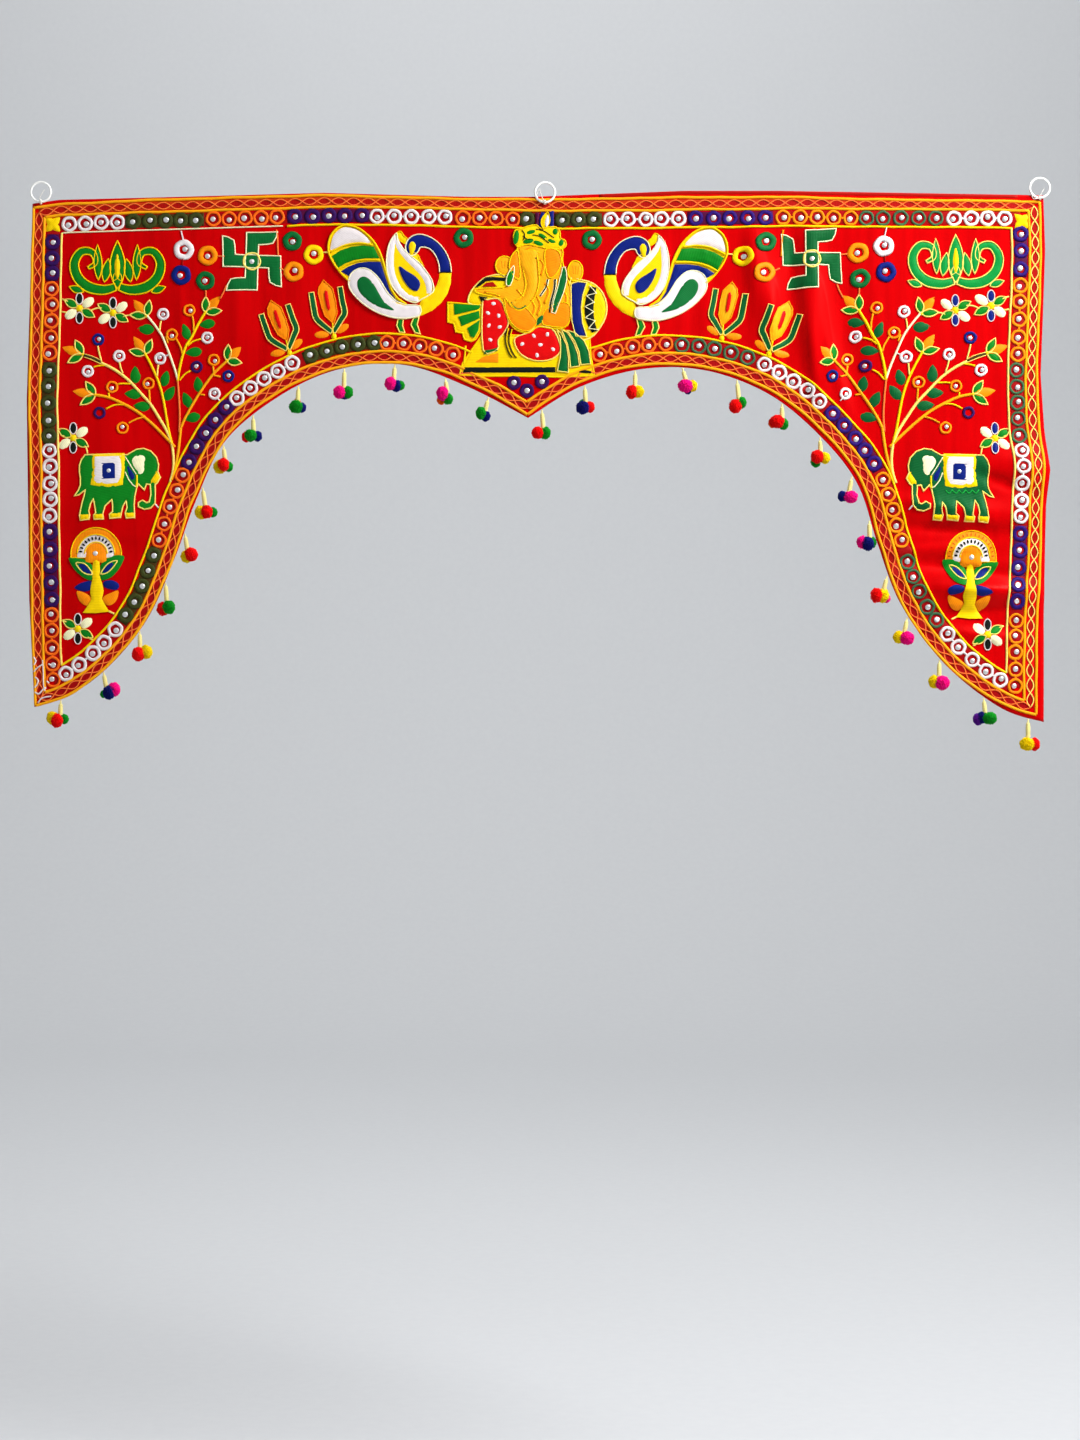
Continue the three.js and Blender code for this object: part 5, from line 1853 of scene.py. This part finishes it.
# name, right, down, and where the tie's loop ends round the wire, in degrees
RINGS = [("left", 41.3, 192.4, 0), ("middle", 545, 192.8, 90), ("right", 1039.4, 188.4, 90)]
# Gap between a tie and what it holds, half its thread's width, and half the thickness of the CAD's cloth
TIE_GAP = 0.3
TIE_THREAD = 0.5
SOLID_HALF_CLOTH = 1.0
# Free thread ends, as steps from the knot: right, up, forward
TAILS = {
    "left": [[(0, 0, 0), (-0.6, 3, 0.9), (1.2, 7, 1.2), (4.2, 11.8, 1)]],
    "middle": [
        [(0, 0, 0), (-4.4, 1.6, 0.8), (-8.2, 4.6, 1.1), (-7.6, 9.5, 1.3), (-5.6, 13.6, 1.2)],
        [(0, 0, 0), (-2.6, 3.6, 1.2), (-4.4, 8.6, 1.5), (-5.2, 13, 1.4)],
    ],
    "right": [
        [(0, 0, 0), (0.4, 2.8, 0.9), (2.2, 6, 1.2), (3.9, 9, 1.1)],
        [(0, 0, 0), (-4.2, -1.4, 0.8), (-7.4, -0.8, 0.9), (-10.2, 7.6, 0.7)],
    ],
}


def tube(path, radius, sides=8, taper_end=1.0):
    """Points and faces of a closed tube along a path in mm, in x, y, z."""
    path = np.asarray(path, dtype=float)
    ahead = np.gradient(path, axis=0)
    ahead /= np.maximum(np.linalg.norm(ahead, axis=1), 1e-9)[:, None]
    side = np.cross(ahead[0], [0, 1, 0.1])
    side /= np.linalg.norm(side)
    points = []
    n = len(path)
    for i in range(n):
        side = side - ahead[i] * side.dot(ahead[i])
        side /= np.linalg.norm(side)
        other = np.cross(ahead[i], side)
        reach = radius * (1 + (taper_end - 1) * i / (n - 1))
        for turn in circle(sides):
            points.append(path[i] + reach * (side * math.cos(turn) + other * math.sin(turn)))
    return np.array(points), skin(n, sides)


def smooth_path(points, steps=6):
    points = np.asarray(points, dtype=float)
    flat = catmull(points[:, :2], steps)
    rest = catmull(np.stack([points[:, 2], points[:, 2]], axis=1), steps)
    return np.column_stack([flat, rest[:, 0]])


def merged(parts):
    """Several (points, faces, material index) as one set of points, faces and indices."""
    points, faces, indices, count = [], [], [], 0
    for part_points, part_faces, index in parts:
        points.append(part_points)
        faces += shifted(part_faces, count)
        indices += [index] * len(part_faces)
        count += len(part_points)
    return np.vstack(points), faces, indices


class ToranRings(bpy.types.Operator):
    """Add the three hanging rings"""
    bl_idname = "toran.hanging_rings"
    bl_label = "Hanging rings"

    def execute(self, context):
        sizes = context.scene.toran_sizes
        wire = sizes.ring_wire / MM / 2
        major = sizes.ring_width / MM / 2 - wire
        y = -(SOLID_HALF_CLOTH + TIE_GAP + wire)
        steps, sides = 72, 16
        for name, right, down, _ in RINGS:
            points = []
            for at in circle(steps):
                for turn in circle(sides):
                    reach = major + wire * math.cos(turn)
                    points.append((
                        right - HOOK_RIGHT + reach * math.cos(at),
                        y + wire * math.sin(turn),
                        HOOK_DOWN - down + reach * math.sin(at),
                    ))
            faces = skin(steps, sides, closed=True)
            thing = make_mesh(f"hanging_ring_{name}", np.array(points) * MM, faces, [moulded_plastic()])
            settle(thing, "ring_plastic", f"ring_{name}")
        return {"FINISHED"}


class ToranTies(bpy.types.Operator):
    """Add the thread ties with their free ends"""
    bl_idname = "toran.ring_ties"
    bl_label = "Ring ties"

    def execute(self, context):
        sizes = context.scene.toran_sizes
        wire = sizes.ring_wire / MM / 2
        major = sizes.ring_width / MM / 2 - wire
        loop_radius = wire + TIE_GAP + TIE_THREAD
        y = -(SOLID_HALF_CLOTH + TIE_GAP + wire)
        face = -SOLID_HALF_CLOTH - TIE_GAP
        thread = cotton_thread("white", linear("#F4F0E6"))
        for name, right, down, loop_turn in RINGS:
            x, z = right - HOOK_RIGHT, HOOK_DOWN - down - major
            parts = []
            for shift in (-0.55, 0.55):
                loop = [(x + shift, face, z - loop_radius)]
                for turn in np.radians(np.linspace(270, loop_turn, 13)):
                    reach = loop_radius * math.cos(turn)
                    loop.append((x + shift, y + reach, z + loop_radius * math.sin(turn)))
                if loop_turn == 90:
                    loop.append((x + shift, face, z + loop_radius))
                parts.append((*tube(smooth_path(loop, 3), TIE_THREAD), 0))
            knot = np.array([x, y - loop_radius - 0.2, z])
            wrap = []
            for at in np.linspace(0, 4 * math.pi, 40):
                swell = 1 + 0.15 * math.sin(3 * at)
                wrap.append(knot + [math.cos(at) * swell, 0.55 * math.sin(2.3 * at), 0.9 * math.sin(at)])
            parts.append((*tube(wrap, TIE_THREAD), 0))
            for tail in TAILS[name]:
                path = [knot + [step_x, -forward, up] for step_x, up, forward in tail]
                parts.append((*tube(smooth_path(path, 8), TIE_THREAD * 0.8, taper_end=0.6), 0))
            points, faces, indices = merged(parts)
            thing = make_mesh(f"tie_{name}", points * MM, faces, [thread], indices)
            settle(thing, "tie_thread", f"ring_tie_{name}")
        return {"FINISHED"}


# Pendants: the stem's top, its foot, the wool's middle, the wool's height, and its balls from the front
# one to the back one: steps right and down from the middle, width and shade
PENDANTS = [
    (
        (62, 702), (61, 712), (58, 719), 15,
        ((0, 1.5, 12, "red"), (-5, -1, 12, "yellow"), (6.4, 0, 9, "green")),
    ),
    (
        (107, 674), (106.6, 686), (110, 691), 15,
        ((0, 1.5, 12, "navy"), (4.5, -1.6, 13, "pink"), (-6, 3, 7, "green")),
    ),
    ((140.6, 631), (140.6, 648), (142.7, 653), 15, ((-3.5, 1.4, 13, "red"), (4, -1, 12.4, "yellow"))),
    ((167, 583), (167, 601), (167, 608), 14.6, ((2.2, -0.6, 13, "green"), (-3.8, 0.8, 12.6, "red"))),
    ((187, 534), (187, 548), (190, 555), 14.6, ((1.5, -0.4, 13.4, "red"), (-3.6, 1.4, 11.6, "yellow"))),
    (
        (205, 489), (205, 505), (206, 512), 14,
        ((0.8, 0, 12.4, "red"), (-5, 0.2, 13, "yellow"), (6.6, 0, 9, "green")),
    ),
    (
        (224.8, 446), (224.8, 458.6), (223, 465.7), 14,
        ((0.4, -0.8, 12, "red"), (-3.4, 1, 13, "yellow"), (5.2, 0.8, 9, "green")),
    ),
    (
        (253.5, 415), (253.5, 430), (251.4, 436), 13,
        ((-0.6, -0.2, 12.6, "green"), (-5, 0.8, 9.6, "red"), (5.6, 0, 9.6, "navy")),
    ),
    (
        (297.7, 385), (297.7, 401), (297, 407), 14,
        ((-0.8, 0, 14, "green"), (4.6, 0.6, 9, "navy"), (0, -5, 7, "orange")),
    ),
    (
        (344, 370), (344, 385), (343, 392.5), 13.6,
        ((-3.4, 0, 12.4, "pink"), (4.6, -0.2, 11, "green"), (1.4, 1.2, 10, "navy")),
    ),
    (
        (394, 365), (394, 377.5), (394.5, 385), 14,
        ((-3.8, -1, 12, "pink"), (1.6, 1, 11, "navy"), (6, 0.4, 8.4, "green")),
    ),
    (
        (446.7, 377), (446.7, 389), (445, 396.5), 15,
        ((-2.4, -2.6, 12, "pink"), (3, 2.4, 10.4, "green"), (-3.8, 3.4, 8.6, "orange")),
    ),
    ((489.8, 397), (485.5, 409), (483, 414.5), 13.6, ((-2, -0.8, 10.4, "green"), (2.6, 1.6, 9.6, "navy"))),
    ((542.4, 410), (543.2, 428), (541, 433), 13, ((-3.4, 0, 12, "red"), (4, 0, 11.4, "green"))),
    (
        (584, 384), (585.5, 401), (584.3, 407), 13.6,
        ((-1.6, 1.2, 13.6, "navy"), (5.4, 0.2, 10, "red"), (-1.4, -3, 8.6, "green")),
    ),
    (
        (634.9, 370.6), (634.9, 385), (634.9, 392), 14.6,
        ((-3.4, 0.6, 11.4, "red"), (3.4, -0.2, 11.4, "yellow")),
    ),
    (
        (682, 368), (685.6, 380), (686.8, 386.4), 14,
        ((-1.6, 0, 15.4, "pink"), (5.4, -0.4, 10.4, "yellow"), (1, 4, 7, "navy")),
    ),
    ((737, 380.6), (738.5, 397), (737.3, 405), 15, ((-2.2, 1.6, 13, "red"), (3.6, -2.2, 11, "green"))),
    (
        (782.6, 402), (782, 415), (778, 422), 14,
        ((-1.2, -0.2, 15.4, "red"), (5.4, 2, 10.4, "green"), (-5, 0.6, 9, "orange")),
    ),
    (
        (820.3, 436), (820.3, 450), (820, 458), 14,
        ((-3, -1, 13, "red"), (5, 0, 10.6, "yellow"), (-4.2, 3.6, 10, "green")),
    ),
    ((852, 476), (849.3, 490), (848, 497), 13, ((2.4, 0.2, 14.4, "pink"), (-5.4, -0.8, 9.6, "navy"))),
    (
        (871.5, 520), (869.5, 535), (866, 543), 15,
        ((1.4, 1, 12.4, "navy"), (-3.6, -0.8, 11.6, "pink"), (5.6, -0.8, 10.4, "green")),
    ),
    (
        (887, 575.5), (884, 588), (880, 596), 15.6,
        ((-4, -0.6, 12.4, "red"), (2.6, -0.4, 13, "yellow"), (7, 2.6, 7.4, "pink")),
    ),
    ((906.3, 617), (904.6, 630), (903.5, 637.6), 14, ((2.8, 0.6, 15, "pink"), (-5, -0.4, 11.6, "yellow"))),
    (
        (938.6, 659), (938.6, 672.5), (938.5, 682.4), 15,
        ((2.8, 0.6, 15.4, "pink"), (-4.6, -0.6, 12, "yellow")),
    ),
    (
        (983.4, 698), (984, 711), (984.2, 718.6), 13.4,
        ((4, -0.4, 15, "green"), (-2.8, -1, 11, "navy"), (-6.4, 0.6, 11, "purple")),
    ),
    ((1027.3, 720.6), (1027.3, 734), (1028.5, 744), 14, ((-2.6, 0, 15, "yellow"), (5, 0.2, 11.6, "red"))),
]
# How far in front of the stem or behind it each ball lies; the stem, its thin neck and the wool's yarns
BALL_FRONTS = (-2.6, 0.6, 2.4)
STEM_TURNS = 13
NECK_RADIUS, NECK_LENGTH, NECK_CLEAR = 0.7, 4.0, 0.6
YARNS_PER_BALL = 420
YARN_LEVELS = ((0.74, 1.0), (1.0, 0.62))


def wool_ball(half, centre, seed):
    """A pompom of half sizes x, y, z: hundreds of cut yarn ends, as points and faces in mm."""
    draw = np.random.default_rng(seed)
    count = YARNS_PER_BALL
    k = np.arange(count) + 0.5
    lift = 1 - 2 * k / count
    turn = math.pi * (1 + 5 ** 0.5) * k + draw.uniform(-0.12, 0.12, count)
    flat = np.sqrt(1 - lift ** 2)
    out = np.stack([flat * np.cos(turn), flat * np.sin(turn), lift], axis=1)
    out += draw.normal(0, 0.05, out.shape)
    out /= np.linalg.norm(out, axis=1)[:, None]
    side = np.cross(out, draw.normal(0, 1, out.shape))
    side /= np.linalg.norm(side, axis=1)[:, None]
    other = np.cross(out, side)
    bend = side * draw.uniform(-0.5, 0.5, (count, 1)) + other * draw.uniform(-0.5, 0.5, (count, 1))
    lump = 1 + 0.05 * np.sin(out[:, 0] * 5 + seed) * np.sin(out[:, 2] * 6 + 2 * seed)
    reach = lump * draw.uniform(0.93, 1.04, count)
    thick = draw.uniform(0.6, 0.85, count)
    points = []
    for share, wide in YARN_LEVELS:
        middle = out * half * (reach * share)[:, None] + bend * (share - YARN_LEVELS[0][0]) * 1.6
        for corner in range(3):
            at = 2 * math.pi * corner / 3
            points.append(middle + (side * math.cos(at) + other * math.sin(at)) * (thick * wide)[:, None])
    points = np.stack(points, axis=1).reshape(-1, 3) + centre
    base = np.arange(count)[:, None] * 6
    pattern = np.array([(0, 1, 4, 3), (1, 2, 5, 4), (2, 0, 3, 5)])
    quads = (base[:, :, None] + pattern[None]).reshape(-1, 4).tolist()
    return points, quads + (base + np.array([[3, 4, 5]])).tolist()


def wool_core(half, centre):
    """The dense inside of a pompom, so that no light passes between its yarns."""
    rings, sides = 8, 14
    points = [centre + half * [0, 0, 1]]
    for i in range(1, rings):
        polar = math.pi * i / rings
        for turn in circle(sides):
            points.append(centre + half * [
                math.sin(polar) * math.cos(turn), math.sin(polar) * math.sin(turn), math.cos(polar),
            ])
    points.append(centre - half * [0, 0, 1])
    last = len(points) - 1
    faces = [(0, 1 + k, 1 + (k + 1) % sides) for k in range(sides)]
    faces += shifted(skin(rings - 1, sides, ends=False, inside_out=True), 1)
    lowest = last - sides
    faces += [(lowest + k, last, lowest + (k + 1) % sides) for k in range(sides)]
    return np.array(points), faces


def wrapped_stem(top, foot):
    """A stem of thread wound round and round, on a thin neck, as points and faces in mm."""
    length = np.linalg.norm(foot - top)
    ahead = (foot - top) / length
    length += 3
    side = np.cross(ahead, [0, 1, 0])
    side /= np.linalg.norm(side)
    other = np.cross(ahead, side)
    profile = [(NECK_RADIUS, 0), (NECK_RADIUS, NECK_LENGTH * 0.5), (0.9, NECK_LENGTH * 0.8)]
    wound = length - NECK_LENGTH
    for k in range(STEM_TURNS * 4 + 1):
        share = k / (STEM_TURNS * 4)
        swell = 1.75 + 0.75 * share ** 1.5 + 0.2 * math.sin(share * 5)
        ridge = 0.26 * abs(math.sin(math.pi * share * STEM_TURNS))
        profile.append((swell + ridge, NECK_LENGTH + wound * share))
    sides = 14
    points = []
    for i, (reach, along) in enumerate(profile):
        for turn in circle(sides):
            slant = 0.35 * math.sin(turn) if i > 2 else 0
            points.append(
                top + ahead * (along + slant) + reach * (side * math.cos(turn) + other * math.sin(turn))
            )
    return np.array(points), skin(len(profile), sides)


class ToranPendants(bpy.types.Operator):
    """Add the wool pompom pendants along the lower edge"""
    bl_idname = "toran.pendants"
    bl_label = "Pendants"

    def execute(self, context):
        wool = context.scene.toran_wool
        edge = np.vstack([
            spaced(catmull(LEFT_ARCH), count=400), spaced(catmull(RIGHT_ARCH), count=400)[1:],
        ])
        outward = normals(edge)
        for number, (stem, foot_at, wool_at, high, balls) in enumerate(PENDANTS, start=1):
            near = nearest(edge, stem)
            anchor = edge[near] + outward[near] * (NECK_CLEAR + NECK_RADIUS * abs(outward[near][0]))
            y = float(depth(edge[near:near + 1, 0], edge[near:near + 1, 1])[0])
            top = np.array([anchor[0] - HOOK_RIGHT, y, HOOK_DOWN - anchor[1]])
            foot = np.array([foot_at[0] - HOOK_RIGHT, y, HOOK_DOWN - foot_at[1]])
            parts = [(*wrapped_stem(top, foot), 0)]
            materials = [cotton_thread("cream", linear("#F4E490"))]
            for ball, (right, down, wide, shade) in enumerate(balls):
                centre = np.array([
                    wool_at[0] + right - HOOK_RIGHT, y + BALL_FRONTS[ball], HOOK_DOWN - wool_at[1] - down])
                tall = min(high, wide * 1.12) if ball else high * 0.96
                half = np.array([wide, (wide + tall) / 2, tall]) / 2
                materials.append(dyed_wool(shade, tuple(getattr(wool, shade))))
                parts.append((*wool_core(half * 0.84, centre), ball + 1))
                parts.append((*wool_ball(half * 1.02, centre, number * 10 + ball), ball + 1))
            points, faces, indices = merged(parts)
            thing = make_mesh(f"pompom_pendant_{number:02d}", points * MM, faces, materials, indices)
            settle(thing, "wool", f"pendant_{number:02d}")
        return {"FINISHED"}


# The cloth operator, which does nothing, the stage, the panel and the run

class ToranCloth(bpy.types.Operator):
    """An operator that does nothing: it says nothing of the satin's size or what is sewn to it"""
    bl_idname = "toran.declare_cloth"
    bl_label = "Declare the cloth"

    def execute(self, context):
        return {"FINISHED"}


# Width and height of the pattern that the picture takes in, and the camera's lens and sensor, in mm
VIEW_WIDE, VIEW_HIGH = 1080, 1440
LENS, SENSOR = 70, 36
# The floor that sweeps up to a wall, in metres
FLOOR_DOWN = 1.42
WALL_BACK = 7.0
WALL_HIGH = 14.0
SWEEP_RADIUS = 2.4
STAGE_REACH = 30.0
# Lights: name, place, what they shine at, diameter and power in watts
LIGHTS = [
    ("key", (1.45, -1.05, 0.95), (0.4, 0, -0.25), 0.8, 72),
    ("fill", (-2.3, -2.3, 0.6), (-0.1, 0, -0.25), 1.8, 4), ("rim", (0.4, 2.0, 1.4), (0, 0, -0.2), 1.5, 26),
    ("backdrop_glow", (0, 3.4, 3.4), (0, 6.6, 0), 3.0, 100),
    ("side_glow_left", (-12, 0, 6), (-14, 6.6, 0), 7.0, 330),
    ("side_glow_right", (12, 0, 6), (14, 6.6, 0), 7.0, 330),
    ("floor_glow", (0, -10, 7), (0, -13, -1.4), 8.0, 260),
]


class ToranStage(bpy.types.Operator):
    """Add the pale floor that sweeps up behind, the soft lights and the camera"""
    bl_idname = "toran.stage"
    bl_label = "Stage"

    def execute(self, context):
        profile = [(-STAGE_REACH, -FLOOR_DOWN), (WALL_BACK - SWEEP_RADIUS, -FLOOR_DOWN)]
        for turn in np.radians(np.linspace(0, 90, 25)[1:]):
            profile.append((
                WALL_BACK - SWEEP_RADIUS + SWEEP_RADIUS * math.sin(turn),
                SWEEP_RADIUS - FLOOR_DOWN - SWEEP_RADIUS * math.cos(turn),
            ))
        profile.append((WALL_BACK, WALL_HIGH))
        points = [(x, y, z) for y, z in profile for x in (-STAGE_REACH, STAGE_REACH)]
        faces = [(2 * i, 2 * i + 1, 2 * i + 3, 2 * i + 2) for i in range(len(profile) - 1)]
        make_mesh("floor_sweep", points, faces, [rolled_paint()])
        world = bpy.data.worlds.new("soft_studio")
        context.scene.world = world
        world.use_nodes = True
        world.node_tree.nodes["Background"].inputs["Color"].default_value = scaled(linear("#ECEEF0"))
        world.node_tree.nodes["Background"].inputs["Strength"].default_value = 0.33
        for name, spot, target, width, power in LIGHTS:
            lamp = bpy.data.lights.new(name, "AREA")
            lamp.shape = "DISK"
            lamp.size = width
            lamp.energy = power
            thing = bpy.data.objects.new(name, lamp)
            thing.location = spot
            aim(thing, target)
            context.scene.collection.objects.link(thing)
        camera = bpy.data.cameras.new("camera")
        camera.lens = LENS
        camera.sensor_width = SENSOR
        thing = bpy.data.objects.new("camera", camera)
        distance = VIEW_HIGH * MM * LENS / SENSOR
        thing.location = ((VIEW_WIDE / 2 - HOOK_RIGHT) * MM, -distance, (HOOK_DOWN - VIEW_HIGH / 2) * MM)
        thing.rotation_euler = (math.pi / 2, 0, 0)
        context.scene.collection.objects.link(thing)
        context.scene.camera = thing
        # Dyed thread and satin keep their full colour in this view, as cloth does by daylight
        context.scene.view_settings.view_transform = "Standard"
        return {"FINISHED"}


def aim(thing, target):
    """Turn a light so that it shines at the target."""
    run = Vector(target) - Vector(thing.location)
    thing.rotation_euler = run.to_track_quat("-Z", "Y").to_euler()


BUILDERS = [
    ToranPanel, ToranBorderLines, ToranBorderRings, ToranStars, ToranFieldRings, ToranCrosses, ToranScrolls,
    ToranTulips, ToranPeacocks, ToranFlowers, ToranTrees, ToranElephants, ToranLamps, ToranFigure,
    ToranRings, ToranTies, ToranPendants, ToranCloth, ToranStage,
]


class ToranSidebar(bpy.types.Panel):
    """The toran's operators and what they can be given"""
    bl_idname = "VIEW3D_PT_toran"
    bl_label = "Toran"
    bl_space_type = "VIEW_3D"
    bl_region_type = "UI"
    bl_category = "Toran"

    def draw(self, context):
        for builder in BUILDERS:
            self.layout.operator(builder.bl_idname)
        for group in (context.scene.toran_sizes, context.scene.toran_colours, context.scene.toran_wool):
            for name in group.bl_rna.properties.keys():
                if name not in ("rna_type", "name"):
                    self.layout.prop(group, name)


GROUPS = {"toran_sizes": ToranSizes, "toran_colours": ToranColours, "toran_wool": ToranWool}


def register():
    for item in (*GROUPS.values(), *BUILDERS, ToranSidebar):
        bpy.utils.register_class(item)
    for name, group in GROUPS.items():
        setattr(bpy.types.Scene, name, bpy.props.PointerProperty(type=group))


def unregister():
    for name in GROUPS:
        delattr(bpy.types.Scene, name)
    for item in (ToranSidebar, *reversed(BUILDERS), *reversed(list(GROUPS.values()))):
        bpy.utils.unregister_class(item)


def main():
    register()
    for builder in BUILDERS:
        family, name = builder.bl_idname.split(".")
        getattr(getattr(bpy.ops, family), name)()


if __name__ == "__main__":
    main()
